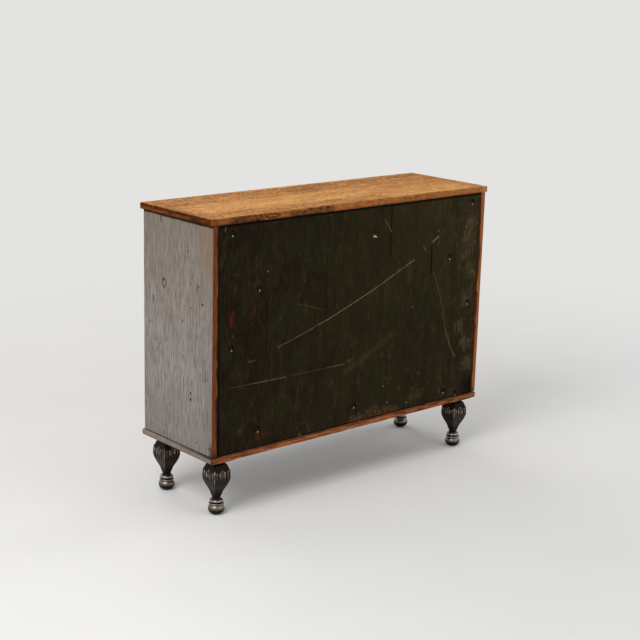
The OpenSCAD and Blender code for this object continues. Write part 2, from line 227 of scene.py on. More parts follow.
def piece(name, parts, finish, body, slot, node, sharp_deg=38, seed=0, **marks):
    """One piece of closed surfaces, each a (points, faces) pair, in place of a CAD node. Each surface
    gets its own value of the attribute `board`, by which a finish varies from board to board."""
    sizes = [len(points) for points, _ in parts]
    starts = np.cumsum([0] + sizes[:-1])
    own = np.random.default_rng(seed).uniform(0.1, 1, len(parts))
    made = mesh_object(
        name, np.concatenate([points for points, _ in parts]),
        np.concatenate([outward(*part) + start for part, start in zip(parts, starts)]),
        finish, sharp_deg, {"board": np.repeat(own, sizes), **marks})
    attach(made, body)
    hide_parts(node)


def dress(node, finish):
    """Gives a CAD node its finish."""
    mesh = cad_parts[node].data
    mesh.materials.clear()
    mesh.materials.append(finish)


def solids(node):
    """The box of each solid of a CAD node, found by joining its triangles."""
    work = bmesh.new()
    work.from_mesh(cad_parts[node].data)
    bmesh.ops.remove_doubles(work, verts=work.verts, dist=1e-6)
    seen, boxes = set(), []
    for start in work.verts:
        heap, group = ([] if start in seen else [start]), []
        seen.add(start)
        while heap:
            group.append(heap.pop())
            fresh = {e.other_vert(group[-1]) for e in group[-1].link_edges} - seen
            seen |= fresh
            heap.extend(fresh)
        if group:
            points = np.array([v.co for v in group])
            boxes.append((points.min(0), points.max(0)))
    work.free()
    return sorted(boxes, key=lambda b: tuple(np.round(b[0], 5)))


# Boards


def ruled(low, high, fine, cell, steps):
    """Grid lines from low to high: `steps` of them over `fine` at each end, and about `cell` apart
    between."""
    ends = fine * np.linspace(0, 1, steps + 1)
    count = max(1, round((high - low - 2.4 * fine) / cell))
    middle = np.linspace(low + 1.2 * fine, high - 1.2 * fine, count + 1)
    return np.concatenate([low + ends, middle, (high - ends)[::-1]])


def box_grid(low, high, fine, cell, steps):
    """Points and quads on the six sides of a box, on lines that are closer near its edges."""
    axes = [ruled(low[a], high[a], fine, cell[a], steps) for a in range(3)]
    counts = [len(a) for a in axes]
    sides = []
    for a in range(3):
        b, c = (a + 1) % 3, (a + 2) % 3
        index = [None] * 3
        index[b], index[c] = np.meshgrid(np.arange(counts[b]), np.arange(counts[c]), indexing="ij")
        for end in (0, counts[a] - 1):
            index[a] = np.full(index[b].shape, end)
            flat = (index[0] * counts[1] + index[1]) * counts[2] + index[2]
            quads = np.stack([flat[:-1, :-1], flat[1:, :-1], flat[1:, 1:], flat[:-1, 1:]], -1)
            sides.append(quads.reshape(-1, 4)[:, :: 1 if end else -1])
    used, quads = np.unique(np.concatenate(sides), return_inverse=True)
    i, j, k = np.unravel_index(used, counts)
    return np.stack([axes[0][i], axes[1][j], axes[2][k]], 1), quads.reshape(-1, 4)


def rounded(points, low, high, radius):
    """Points of a box moved onto the rounded box: each goes to radius from its nearest point in the
    box that is smaller by radius all round. The radius may differ from point to point."""
    r = np.broadcast_to(radius, len(points))[:, None]
    centre = np.clip(points, low + r, high - r)
    away = points - centre
    far = np.linalg.norm(away, axis=1, keepdims=True)
    return centre + away * np.divide(r, far, out=np.zeros_like(far), where=far > 0)


def board(low, high, radius, wear=0.0, cell=(0.006, 0.006, 0.006), seed=0, steps=4, shape=None):
    """A board as a rounded box. Its radius is `radius`, a number or a function of the points, and grows
    by up to `wear`, more in a few short chips, as smooth noise along the edges says. `shape` bends
    the finished points."""
    low, high = np.array(low, float), np.array(high, float)
    of = (lambda p: radius) if np.isscalar(radius) else radius
    most = float(np.max(of(np.stack([low, high]))))
    points, faces = box_grid(low, high, (most + 1.2 * wear) * 1.05, cell, steps)
    r = of(points)
    if wear:
        rub = np.clip(waves(points, 90, seed), 0, 1) + 0.35 * np.clip(waves(points, 22, seed + 1), 0, 1)
        chip = 1.6 * np.clip(waves(points, 34, seed + 2) * waves(points, 13, seed + 3) - 0.28, 0, 0.4)
        r = np.minimum(r + wear * (rub + chip), 0.45 * (high - low).min())
    points = rounded(points, low, high, r)
    return (shape(points) if shape else points), faces


def sawn_back(points, ragged, seed):
    """Cuts a board off at the back plane: y goes to a soft lower bound of itself and the plane, which
    is set in by up to `ragged` of noise."""
    y, flat, soft = points[:, 1], points * [1, 0, 1], 0.35 * MM
    cut = Y_BACK - ragged * np.clip(waves(flat, 60, seed) + 0.8 * waves(flat, 15, seed + 1), 0, 2)
    bound = cut - soft * np.logaddexp(0, (cut - y) / soft)
    return moved(points, 1, np.where(y > cut - 12 * soft, bound, y))


# Finishes


def add(tree, kind, *inputs, stops=None, **named):
    """Adds one node. `kind` is its type without the word ShaderNode and, after a blank, its operation.
    Its inputs come in order, or under their names, which start with a capital; the other names are
    settings. An input that is a node or a socket is linked, and any other is set. A ramp takes the
    places and colours of its stops."""
    kind, *operation = kind.split()
    node = tree.nodes.new("ShaderNode" + kind)
    if operation:
        node.operation = operation[0]
    for key in filter(str.islower, named):
        setattr(node, key, named[key])
    if stops:
        for at, _ in stops[1:-1]:
            node.color_ramp.elements.new(at)
        for element, (at, tone) in zip(node.color_ramp.elements, stops):
            element.position, element.color = at, tone
    given = list(zip(node.inputs, inputs))
    for key, value in named.items():
        if not key.islower():
            given.append((next(s for s in node.inputs if s.enabled and s.name == key), value))
    for socket, value in given:
        if isinstance(value, bpy.types.Node):
            value = next(s for s in value.outputs if s.enabled)
        if isinstance(value, bpy.types.NodeSocket):
            tree.links.new(value, socket)
        else:
            socket.default_value = value
    return node


def finish_named(name, build, *facts):
    """The finish of that name, built when the first piece asks for it. Each is built from a tree of
    nodes, the colours, the object coordinates and its own facts."""
    found = bpy.data.materials.get(name)
    if found is None:
        found = bpy.data.materials.new(name)
        found.use_nodes = True
        tree = found.node_tree
        tree.nodes.clear()
        spot = add(tree, "TexCoord").outputs["Object"]
        build(tree, bpy.context.scene.cabinet_colours, spot, *facts)
    return found


def close_finish(tree, tone, roughness, height, depth, metallic=0.0, specular=0.5):
    """Ends a finish: bump of that depth in metres, the surface shader and its output."""
    bump = add(tree, "Bump", Height=height, Distance=depth, Strength=1.0)
    skin = add(tree, "BsdfPrincipled", tone, Metallic=metallic, Roughness=roughness, Normal=bump,
               **{"Specular IOR Level": specular})
    add(tree, "OutputMaterial", skin)


def laid(tree, tone, *coats):
    """A tone with coats of colour laid over it. Each coat says its colour, what it follows, its greatest
    strength, the value of what it follows where there is none of it and where it is full, and its blend
    mode. The last four are 1, 0, 1 and MIX where a coat leaves them out."""
    usual = (1.0, 0.0, 1.0, "MIX")
    for coat in coats:
        over, by, most, low, high, way = coat + usual[len(coat) - 2:]
        share = add(tree, "MapRange", by, low, high, 0.0, most)
        tone = add(tree, "Mix", Factor=share, A=tone, B=over, data_type="RGBA", blend_type=way)
    return tone


def thinned(tree, mask, by, low, high, least=0.0, most=1.0):
    """A mask times `least` where what it follows is at low, and times `most` where that is at high."""
    return add(tree, "Math MULTIPLY", mask, add(tree, "MapRange", by, low, high, least, most))


def place(tree, spot):
    """Coordinates moved far off by the board's own value, so that no two boards share a pattern."""
    own = add(tree, "Attribute", attribute_name="board").outputs["Fac"]
    shift = add(tree, "VectorMath SCALE", (7.0, 11.0, 5.0), Scale=own)
    return add(tree, "VectorMath ADD", spot, shift)


def bent(tree, spot, size_mm, by_mm):
    """Coordinates moved about by noise of that size, so that what is drawn at them has a ragged
    outline."""
    noise = add(tree, "TexNoise", Vector=spot, Scale=1 / (size_mm * MM), Detail=3.0)
    off = add(tree, "VectorMath SUBTRACT", noise.outputs["Color"], (0.5, 0.5, 0.5))
    way = add(tree, "VectorMath SCALE", off, Scale=4 * by_mm * MM)
    return add(tree, "VectorMath ADD", spot, way)


def streaks(tree, where, along, *rows):
    """Noise drawn out along the grain. Each row says how wide its features are and how long, in
    millimetres, its detail, and how far it is shifted from the others. Returns one for each row."""
    made = []
    for across_mm, length_mm, detail, shift in rows:
        scale = [1 / (across_mm * MM)] * 3
        scale["XYZ".index(along)] = 1 / (length_mm * MM)
        drawn = add(tree, "Mapping", Vector=where, Scale=scale, Location=(shift, shift * 1.7, shift * 0.6))
        made.append(add(tree, "TexNoise", Vector=drawn, Scale=1.0, Detail=detail))
    return made


def spots(tree, spot, at, marks, size):
    """1 at the marks, which `at` turns to metres, and 0 past `size` from them, soft at the rim."""
    total = 0.0
    for mark in marks:
        gone = add(tree, "VectorMath DISTANCE", spot, at(mark)).outputs["Value"]
        dot = add(tree, "MapRange", gone, size, size * 0.45)
        total = add(tree, "Math MAXIMUM", total, dot)
    return total


def lines(tree, spot, at, runs, width):
    """The strength of each run along its marks, which `at` turns to metres, and 0 past `width` from
    it."""
    total = 0.0
    for strength, marks in runs:
        for a, b in zip(marks[:-1], marks[1:]):
            way = Vector(at(b)) - Vector(at(a))
            off = add(tree, "VectorMath SUBTRACT", spot, at(a))
            along = add(tree, "VectorMath DOT_PRODUCT", off, way / way.length_squared).outputs["Value"]
            share = add(tree, "Math ADD", along, 0.0, use_clamp=True)
            foot = add(tree, "VectorMath SCALE", way, Scale=share)
            gone = add(tree, "VectorMath DISTANCE", off, foot).outputs["Value"]
            line = add(tree, "MapRange", gone, width, width * 0.3, 0.0, strength)
            total = add(tree, "Math MAXIMUM", total, line)
    return total


# Scales of noise that is the same in every direction, in features a metre: the sand of the iron 1.1 mm,
# growth rings 2.4 mm, rust 2.9 mm, the nibbled edge of the paint 7 mm, specks 9 mm, breaks in scratches
# 12 mm, chips and the clouds of the iron 14 mm, and the mottling of the floor 330 mm
SAND, RINGS, RUST, NIBBLES, SPECKS, BREAKS, CHIPS = 900.0, 420.0, 350.0, 140.0, 110.0, 80.0, 70.0
MOTTLES = 3.0


def oak_grain(tree, where, tones, lean, along="X", rays=(11, 11), force=0.9):
    """Oiled old oak, sawn and scraped: low bands and fine lines along the grain on a ramp of dark, mid
    and light tones, `lean` its middle from 0 to 1, with ray flecks of that size in millimetres across
    and along it, short streaks and pores, as strong as `force` says. On the top the flecks are drawn
    some twice as wide as in the wood, so that they show. Returns tone and height."""
    broad, fine, ray, fleck, pores = streaks(
        tree, where, along, (22, 420, 3.0, 0.0), (5, 120, 4.0, 3.1), (*rays, 3.0, 8.3),
        (0.4 * rays[0], 14, 3.0, 2.9), (1.6, 17, 2.0, 5.7))
    sway = add(tree, "Math MULTIPLY_ADD", broad, 0.7, fine)
    swing = add(tree, "MapRange", sway, 0.65, 1.05, -0.30, 0.30)
    level = add(tree, "Math ADD", swing, lean)
    dark, mid, light = (tuple(t) for t in tones)
    tone = add(tree, "ValToRGB", level, stops=[(0.0, dark), (0.5, mid), (1.0, light)])
    tone = laid(
        tree, tone, (light, ray, 0.62 * force, 0.50, 0.66), (dark, ray, 0.60 * force, 0.47, 0.32),
        (light, fleck, 0.55 * force, 0.52, 0.68), (dark, fleck, 0.75 * force, 0.46, 0.30),
        (dark, pores, 0.50, 0.56, 0.72))
    return tone, add(tree, "Math SUBTRACT", fine, pores)


# Rows of staves that the top is glued from, from the rear row to the front row: metres from the right
# end to the row's end joint, and the tone of the stave on each side of it, 0 dark to 1 light
STAVE = 0.0745
TOP_ROWS = [(0.723, 0.32, 0.74), (0.735, 0.72, 0.60), (0.765, 0.64, 0.46), (0.700, 0.30, 0.30),
            (0.706, 0.12, 0.10)]
# Dull stains and white chips on the top: the half they are on, 1 right or -1 left, and metres in from
# its end and from the back edge
TOP_STAINS = [(1, 0.54, 0.262), (1, 0.585, 0.268), (1, 0.655, 0.325), (1, 0.60, 0.33)]
TOP_CHIPS = [(-1, 0.006, 0.012), (-1, 0.016, 0.007), (-1, 0.034, 0.348)]
# Dark patches and a knot's outline on its back edge: metres from the right end, and up from its middle
TOP_SOOT = [(0.11, 0), (0.17, 0), (0.33, 0), (0.38, 0), (0.43, 0)]
TOP_KNOT = [(0.254, 0.001), (0.236, 0.006), (0.214, 0.005), (0.200, 0.000), (0.215, -0.005),
            (0.238, -0.004), (0.254, 0.001)]


def on_top(mark):
    """A mark on the face of the top, in metres."""
    return (mark[0] * (X_END - mark[1]), Y_BACK - mark[2], TOP_HI[2])


def on_edge(mark):
    """A mark on the back edge of the top, in metres."""
    return (X_END - mark[0], Y_BACK, Z_EDGE + mark[1])


def staves(tree, spot):
    """The staves of the top: the tone of each, a distance to move its grain by, and its seams."""
    x, y, _ = add(tree, "SeparateXYZ", spot).outputs
    row = add(tree, "Math MULTIPLY_ADD", y, -1 / STAVE, Y_BACK / STAVE)
    share = add(tree, "Math DIVIDE", row, len(TOP_ROWS))
    stops = [(i / len(TOP_ROWS), (*facts, 1.0)) for i, facts in enumerate(TOP_ROWS)]
    ramp = add(tree, "ValToRGB", share, stops=stops)
    ramp.color_ramp.interpolation = "CONSTANT"
    joint, near, far = add(tree, "SeparateColor", ramp).outputs
    gone = add(tree, "Math SUBTRACT", X_END, x)
    beyond = add(tree, "Math GREATER_THAN", gone, joint)
    tone = add(tree, "Mix", Factor=beyond, A=near, B=far)
    stains = spots(tree, bent(tree, spot, 60, 18), on_top, TOP_STAINS, 0.06)
    dull = add(tree, "Math MULTIPLY", stains, -0.22)
    tone = add(tree, "Math ADD", tone, dull)
    shift = add(tree, "Math MULTIPLY_ADD", joint, 31.0, beyond)
    side = add(tree, "Math PINGPONG", row, 0.5)
    end = add(tree, "Math ABSOLUTE", add(tree, "Math SUBTRACT", gone, joint))
    seam = add(tree, "MapRange", side, 0.011, 0.004)
    butt = add(tree, "MapRange", end, 0.9 * MM, 0.3 * MM)
    return tone, shift, add(tree, "Math MAXIMUM", seam, butt)


def oak_top(tree, c, spot):
    """The oak of the top, oiled and rubbed: brown and honey staves end to end in five rows, and strips
    round them, marked by the attribute `strip`, whose grain runs along Y where `turn` is 1."""
    x, y, z = add(tree, "SeparateXYZ", spot).outputs
    turned = add(tree, "CombineXYZ", y, x, z)
    turn, strip = (add(tree, "Attribute", attribute_name=key).outputs["Fac"] for key in ("turn", "strip"))
    tone, shift, seam = staves(tree, spot)
    lean = add(tree, "Mix", Factor=strip, A=tone, B=0.5)
    own = add(tree, "VectorMath SCALE", (1.0, 0.7, 0.3), Scale=shift)
    grain = add(tree, "VectorMath ADD", spot, own)
    where = add(tree, "Mix", Factor=turn, A=grain, B=turned, data_type="VECTOR")
    tone, height = oak_grain(tree, where, (c.oak_dark, c.oak_mid, c.oak_light), lean)
    figure = streaks(tree, where, "X", (26, 48, 4.0, 12.0))[0]
    plain = add(tree, "Math SUBTRACT", seam, strip, use_clamp=True)
    tone = laid(
        tree, tone, (c.oak_dark, figure, 0.26, 0.50, 0.68), (c.oak_light, figure, 0.30, 0.48, 0.34),
        (c.dark_stain_and_shade, plain, 0.55))
    close_finish(tree, worn_edges(tree, c, spot, tone), 0.7, height, 0.4 * MM, specular=0.04)


def worn_edges(tree, c, spot, tone):
    """Old stain and dirt on the outer edges of the top. The ends are dark on their upper half and towards
    the back, with nicks that reach into the face, and brown between. The back edge is rubbed orange, dark in
    patches near the right end, with end grain at both ends. The lower arris of the ends and of the back edge
    is darkened by dirt and painted shade. Dirt darkens the rims of the face, and last come a few white chips
    at its corners."""
    x, y, z = add(tree, "SeparateXYZ", spot).outputs
    wide = add(tree, "Math ABSOLUTE", x)
    chip = add(tree, "TexNoise", Vector=spot, Scale=CHIPS, Detail=4.0)
    nick = add(tree, "MapRange", chip, 0.46, 0.74, 0.0008, 0.0052)
    reach = add(tree, "Math ADD", wide, nick)
    front = add(tree, "Math LESS_THAN", y, EDGE_LO[1] + 0.0012)
    end = add(tree, "MapRange", reach, X_END - 0.0020, X_END - 0.0002)
    end = add(tree, "Math MAXIMUM", end, front)
    bite = add(tree, "Math MULTIPLY_ADD", nick, 0.45, y)
    back = add(tree, "MapRange", bite, Y_BACK - 0.0024, Y_BACK - 0.0008)
    drift = add(tree, "Math MULTIPLY_ADD", chip, 0.014, z)
    upper = add(tree, "MapRange", drift, Z_EDGE + 0.0060, Z_EDGE + 0.0090)
    # Painted shade, with dirt: the lowest 5.5 mm of the edges, their lower arris, is laid darker
    lower = add(tree, "MapRange", z, Z_UNDER + 0.0055, Z_UNDER + 0.0025)
    rear = add(tree, "MapRange", y, Y_BACK - 0.20, Y_BACK - 0.06, 0.0, 0.8)
    dark = add(tree, "Math MAXIMUM", upper, rear)
    fine, blotch = streaks(tree, spot, "Y", (1.8, 26, 2.0, 6.0), (7, 40, 3.0, 2.2))
    tone_end = laid(
        tree, c.edge_light, (c.raw_dark, fine, 0.75, 0.44, 0.68), (c.brown_stain_and_shade, dark, 0.92),
        (c.dark_stain_and_shade, lower, 0.75), (c.dark_stain_and_shade, blotch, 0.75, 0.50, 0.68),
        (c.edge_light, blotch, 0.35, 0.44, 0.32))
    level, patch = streaks(tree, spot, "X", (2.6, 16, 4.0, 6.0), (10, 30, 4.0, 4.0))
    third = add(tree, "MapRange", x, X_END - 0.52, X_END - 0.02)
    soot = spots(tree, bent(tree, spot, 50, 16), on_edge, TOP_SOOT, 0.055)
    soot = add(tree, "Math MULTIPLY", soot, level)
    knot = lines(tree, bent(tree, spot, 12, 1), on_edge, [(0.8, TOP_KNOT)], 0.0030)
    strip = X_END - (TOP_LO[1] - EDGE_LO[1])
    rings = add(tree, "TexNoise", Vector=spot, Scale=RINGS, Detail=3.0)
    near_end = laid(tree, c.end_near, (c.brown_stain_and_shade, rings, 0.8, 0.40, 0.64), (c.brown_stain_and_shade, lower, 0.7))
    tone_back = laid(
        tree, c.edge_orange, (c.raw_dark, level, 0.7, 0.42, 0.66), (c.brown_stain_and_shade, patch, 0.6, 0.52, 0.72),
        (c.brown_stain_and_shade, lower, 0.5), (c.brown_stain_and_shade, third, 0.42), (c.dark_stain_and_shade, soot, 0.80, 0.24, 0.60),
        (c.dark_stain_and_shade, knot), (near_end, x, 1.0, strip + 0.001, strip + 0.003),
        (c.end_far, x, 1.0, -strip, -strip - 0.0006))
    rims = add(tree, "MapRange", y, Y_BACK - 0.016, Y_BACK - 0.002)
    ends = add(tree, "MapRange", wide, X_END - 0.09, X_END - 0.002, 0.0, 0.7)
    soil = add(tree, "Math MULTIPLY", add(tree, "Math MAXIMUM", rims, ends), chip)
    chips = spots(tree, bent(tree, spot, 9, 2.6), on_top, TOP_CHIPS, 0.0078)
    return laid(
        tree, tone, (c.edge_light, soil, 0.55, 0.05, 0.6, "MULTIPLY"), (tone_end, end), (tone_back, back),
        (c.chip, chips))


def rubbed_paint(tree, c, spot, along):
    """Grey milk paint on pine, brushed along the grain and rubbed thin: yellowed towards the top under fine
    warm and cool streaks, soft clouds, dark specks, dirt and painted shade in the corners, and bare wood at
    the sawn back edges."""
    where = place(tree, spot)
    x, y, z = add(tree, "SeparateXYZ", spot).outputs
    cloud, wide, brush, hair = streaks(tree, where, along, (34, 95, 3.0, 6.0), (7, 150, 3.0, 0.0),
                                       (3.2, 85, 3.0, 4.0), (1.8, 38, 2.0, 9.0))
    raw_grain, raw_patch = streaks(tree, spot, along, (2.0, 50, 3.0, 1.3), (7, 60, 3.0, 5.1))
    tone = laid(
        tree, c.paint, (c.paint_warm, z, 1.0, Z_FLOOR + 0.26, Z_FLOOR + 0.54),
        (c.paint_cool, wide, 0.6, 0.38, 0.62), (c.paint_worn, cloud, 0.48, 0.44, 0.74),
        (c.paint_pale, brush, 0.55, 0.50, 0.30), (c.paint_worn, brush, 0.85, 0.50, 0.72),
        (c.paint_worn, hair, 0.95, 0.53, 0.70, "MULTIPLY"))
    nibble = add(tree, "TexNoise", Vector=spot, Scale=NIBBLES, Detail=3.0)
    line = add(tree, "MapRange", nibble, 0.40, 0.75, 0.0012, 0.0028)
    bare = add(tree, "Math LESS_THAN", add(tree, "Math SUBTRACT", Y_BACK, y), line)
    raw = laid(
        tree, c.raw_wood, (c.raw_dark, raw_grain, 0.85, 0.42, 0.66),
        (c.raw_dark, raw_patch, 0.85, 0.46, 0.62))
    if along == "Z":
        tone, raw, bare = upright_edges(tree, c, (x, y, z), raw_patch, tone, raw, bare)
        tone = side_marks(tree, c, spot, tone)
    else:
        tone, raw = level_edges(tree, c, (x, y, z), cloud, tone, raw)
    height = add(tree, "Math ADD", brush, hair)
    close_finish(tree, laid(tree, tone, (raw, bare)), 0.76, height, 0.4 * MM, specular=0.1)


def upright_edges(tree, c, xyz, raw_patch, tone, raw, bare):
    """The paint of a side board, thin near the top, the base and the back, and its bare back edge and inner
    face, darker towards the outside, with old varnish over them that is thinner on the left side. Painted
    shade darkens the edge along its inner rim by the back panel, and dirt with painted shade at its foot by
    the base. Returns the paint, the bare wood and where that shows."""
    x, y, z = xyz
    tone = laid(
        tree, tone, (c.paint_worn, z, 0.38, SIDE_HI[2] - 0.26, SIDE_HI[2]),
        (c.paint_worn, z, 0.30, Z_FLOOR + 0.20, Z_FLOOR), (c.paint_worn, y, 0.28, Y_BACK - 0.09, Y_BACK))
    inner = add(tree, "Math ABSOLUTE", x)
    within = add(tree, "Math LESS_THAN", inner, X_INNER + 0.0012)
    notch = add(tree, "MapRange", raw_patch, 0.40, 0.66, 0.0, 0.0080)
    ragged_inner = add(tree, "Math SUBTRACT", inner, notch)
    half = X_INNER + 0.45 * (X_OUTER - X_INNER)
    raw = laid(
        tree, raw, (c.raw_dark, x, 0.35, half - 0.002, half + 0.001), (c.raw_red, 1.0, 0.72),
        # Painted shade: black along the inner rim of the back edge by the recessed panel, and darker, with
        # dirt, on its lowest 30 mm over the gap to the base
        (c.raw_wood, x, 0.6, 0.0, -0.3), (c.dark_stain_and_shade, ragged_inner, 0.85, X_INNER + 0.0020, X_INNER + 0.0004),
        (c.dark_stain_and_shade, z, 0.7, Z_FLOOR + 0.030, Z_FLOOR + 0.004))
    return tone, raw, add(tree, "Math MAXIMUM", bare, within)


def level_edges(tree, c, xyz, cloud, tone, raw):
    """The paint of the base and the rail, scuffed and yellowed on the base, darker along its lower edge, and
    with dirt and painted shadow on its upper edge towards the back, under the gap of the side boards, and
    the bare back edge of the base, darker near its top and its right end. Returns the paint and the bare
    wood."""
    x, y, z = xyz
    top = BASE_HI[2]
    on_base = add(tree, "Math LESS_THAN", z, top + 0.01)
    scuffed = thinned(tree, on_base, cloud, 0.25, 0.60)
    # Painted shadow, with dirt: the upper edge of the base is darker towards the back, under the gap of the
    # side boards
    grime_and_shadow = add(tree, "MapRange", y, Y_BACK - 0.24, Y_BACK - 0.03)
    grime_and_shadow = thinned(tree, grime_and_shadow, z, top - 0.006, top - 0.002)
    tone = laid(
        tree, tone, (c.paint_warm, z, 0.6, top + 0.01, top + 0.009), (c.paint_worn, scuffed, 0.45),
        (c.dirt, z, 0.55, BASE_LO[2] + 0.0075, BASE_LO[2] + 0.0020), (c.dark_stain_and_shade, grime_and_shadow, 0.8))
    raw = laid(
        tree, raw, (c.raw_dark, z, 0.6, top - 0.0065, top - 0.0030),
        (c.dark_stain_and_shade, x, 0.5, BASE_HI[0] - 0.05, BASE_HI[0] - 0.004))
    return tone, raw


# Marks on the painted side in millimetres: distance in from the back edge, and height over the base
SIDE_TALL = (SIDE_HI[2] - Z_FLOOR) / MM
SIDE_STAINS = [(8, SIDE_TALL - 26), (0, SIDE_TALL - 84)]
SIDE_SOILED = [(2, 6), (1, 24)]
SIDE_SPECKS = [(109, 512), (70, 511), (106, 441), (148, 394), (319, 357), (145, 284), (122, 608), (75, 32),
               (18, 27), (310, 32), (247, 19), (300, 440), (33, 236), (214, 118)]
SIDE_HOLES = [(50, 461), (107.5, 178), (107.5, 158)]
SIDE_KNOT = [(1.0, [(240, 503), (247, 502), (251, 494), (249, 483), (243, 475)]),
             (0.75, [(243, 475), (236, 483), (233, 493), (236, 500)])]
SIDE_KNOT_HEART = [(247, 503)]
SIDE_CRACKS = [(0.7, [(282, 275), (274, 292), (276, 310)]), (0.7, [(274, 292), (258, 303)]),
               (0.7, [(28, 289), (36, 295), (45, 293)]), (0.7, [(33, 268), (35, 244)]),
               (0.7, [(306, 118), (318, 112)])]
SIDE_SPLIT = [(1.0, [(260, 676), (260, 698)])]
SIDE_SPLINTER = [(0.8, [(260, 672), (260, 684)])]


def on_side(mark):
    """A mark on the outer face of the right side board, in metres."""
    return (X_OUTER, Y_BACK - mark[0] * MM, Z_FLOOR + mark[1] * MM)


def side_marks(tree, c, spot, tone):
    """The specks, nail holes, knot, splits and stains of the painted side, a painted shadow along its top
    under the overhang of the top board, and dirt with painted shade along its bottom over the gap to the
    base."""
    _, _, z = add(tree, "SeparateXYZ", bent(tree, spot, 22, 1.2)).outputs
    near = bent(tree, spot, 7, 0.7)
    run = streaks(tree, spot, "Z", (6, 60, 3.0, 2.0))[0]
    stain = spots(tree, bent(tree, spot, 30, 16), on_side, SIDE_STAINS, 0.092)
    stain = thinned(tree, stain, run, 0.35, 0.62, 0.45)
    soiled = spots(tree, bent(tree, spot, 14, 4), on_side, SIDE_SOILED, 0.02)
    split = lines(tree, near, on_side, SIDE_SPLIT, 0.0026)
    holes = spots(tree, spot, on_side, SIDE_HOLES, 0.0056)
    black = add(tree, "Math MAXIMUM", split, holes)
    return laid(
        tree, tone, (c.ochre, stain, 0.5), (c.dark_stain_and_shade, soiled, 0.7),
        (c.dirt, spots(tree, near, on_side, SIDE_SPECKS, 0.0046), 0.8),
        (c.dirt, lines(tree, near, on_side, SIDE_KNOT, 0.0038)),
        (c.dirt, spots(tree, near, on_side, SIDE_KNOT_HEART, 0.0060)),
        (c.dirt, lines(tree, near, on_side, SIDE_CRACKS, 0.0018)),
        (c.raw_wood, lines(tree, near, on_side, SIDE_SPLINTER, 0.0034)), (c.dark_stain_and_shade, black),
        # Painted shadow: black along the top 5 to 8 mm of the side, under the overhang of the top; below it,
        # dirt with painted shade along the lowest 6 mm
        (c.black_dirt_and_shade, z, 0.92, SIDE_HI[2] - 0.0080, SIDE_HI[2] - 0.0050),
        (c.dark_stain_and_shade, z, 0.85, Z_FLOOR + 0.0060, Z_FLOOR + 0.0026))


# Marks on the back in millimetres: distance from the right side towards the left, and height over the
# base. A run of points has its strength.
BACK_SCRATCHES = [
    (0.32, [(230, 304), (280, 317), (364, 341), (389, 350)]),
    (0.52, [(389, 350), (427, 360), (532, 397), (609, 426), (658, 445), (728, 476), (802, 507)]),
    (0.75, [(881, 556), (909, 571)]), (0.30, [(660, 654), (692, 608)]), (0.35, [(839, 545), (850, 531)]),
    (0.50, [(25, 680), (28, 697)]), (0.26, [(116, 276), (144, 278)]), (0.14, [(52, 207), (128, 206)]),
    (0.34, [(128, 206), (263, 204)]), (0.10, [(280, 205), (435, 204)]), (0.30, [(435, 204), (505, 204)]),
    (0.10, [(302, 429), (414, 394)]), (0.20, [(892, 454), (934, 355), (962, 243)]),
    (0.34, [(962, 243), (997, 165), (1015, 144)])]
BACK_SMEAR = [(0.30, [(513, 176), (606, 216), (702, 267)]), (0.35, [(780, 440), (781, 500)])]
BACK_SPLITS = [(0.5, [(183, 280), (183, 450)]), (0.4, [(420, 385), (421, 690)]),
               (0.75, [(690, 530), (689, 700)]), (1.0, [(878, 454), (877, 500)]),
               (1.0, [(880, 490), (877, 540)]), (0.35, [(990, 120), (991, 690)])]
BACK_WEAR = [(0.9, [(540, 6), (640, 18), (740, 4)]), (0.5, [(800, 34), (850, 44)]),
             (0.4, [(1098, 80), (1099, 420)])]
BACK_ORANGE = [(0.55, [(53, 400), (54, 436)]), (0.30, [(137, 424), (137, 440)]),
               (0.40, [(155, 44), (154, 32)]), (0.30, [(178, 36), (190, 38)]),
               (0.30, [(708, 60), (709, 72)])]
BACK_RUBS = [(525, 210), (751, 81), (839, 113), (812, 66)]
BACK_SPECKS = [(186, 544), (681, 99), (800, 349), (324, 5), (906, 590), (790, 22), (700, 40)]
BACK_SCUFFS = [(1062, 600), (1050, 560), (1075, 520), (1040, 500), (1066, 440), (1050, 340), (1030, 250),
               (1060, 190), (1085, 110), (420, 600), (310, 590), (300, 550), (150, 500), (60, 330)]
BACK_CHIP = [(615, 604), (625, 600)]
BACK_CORNER = [(1096, 22)]


def on_back(mark):
    """A mark on the outer face of the back panel, in metres."""
    return (X_INNER - mark[0] * MM, PANEL_HI[1], Z_FLOOR + mark[1] * MM)


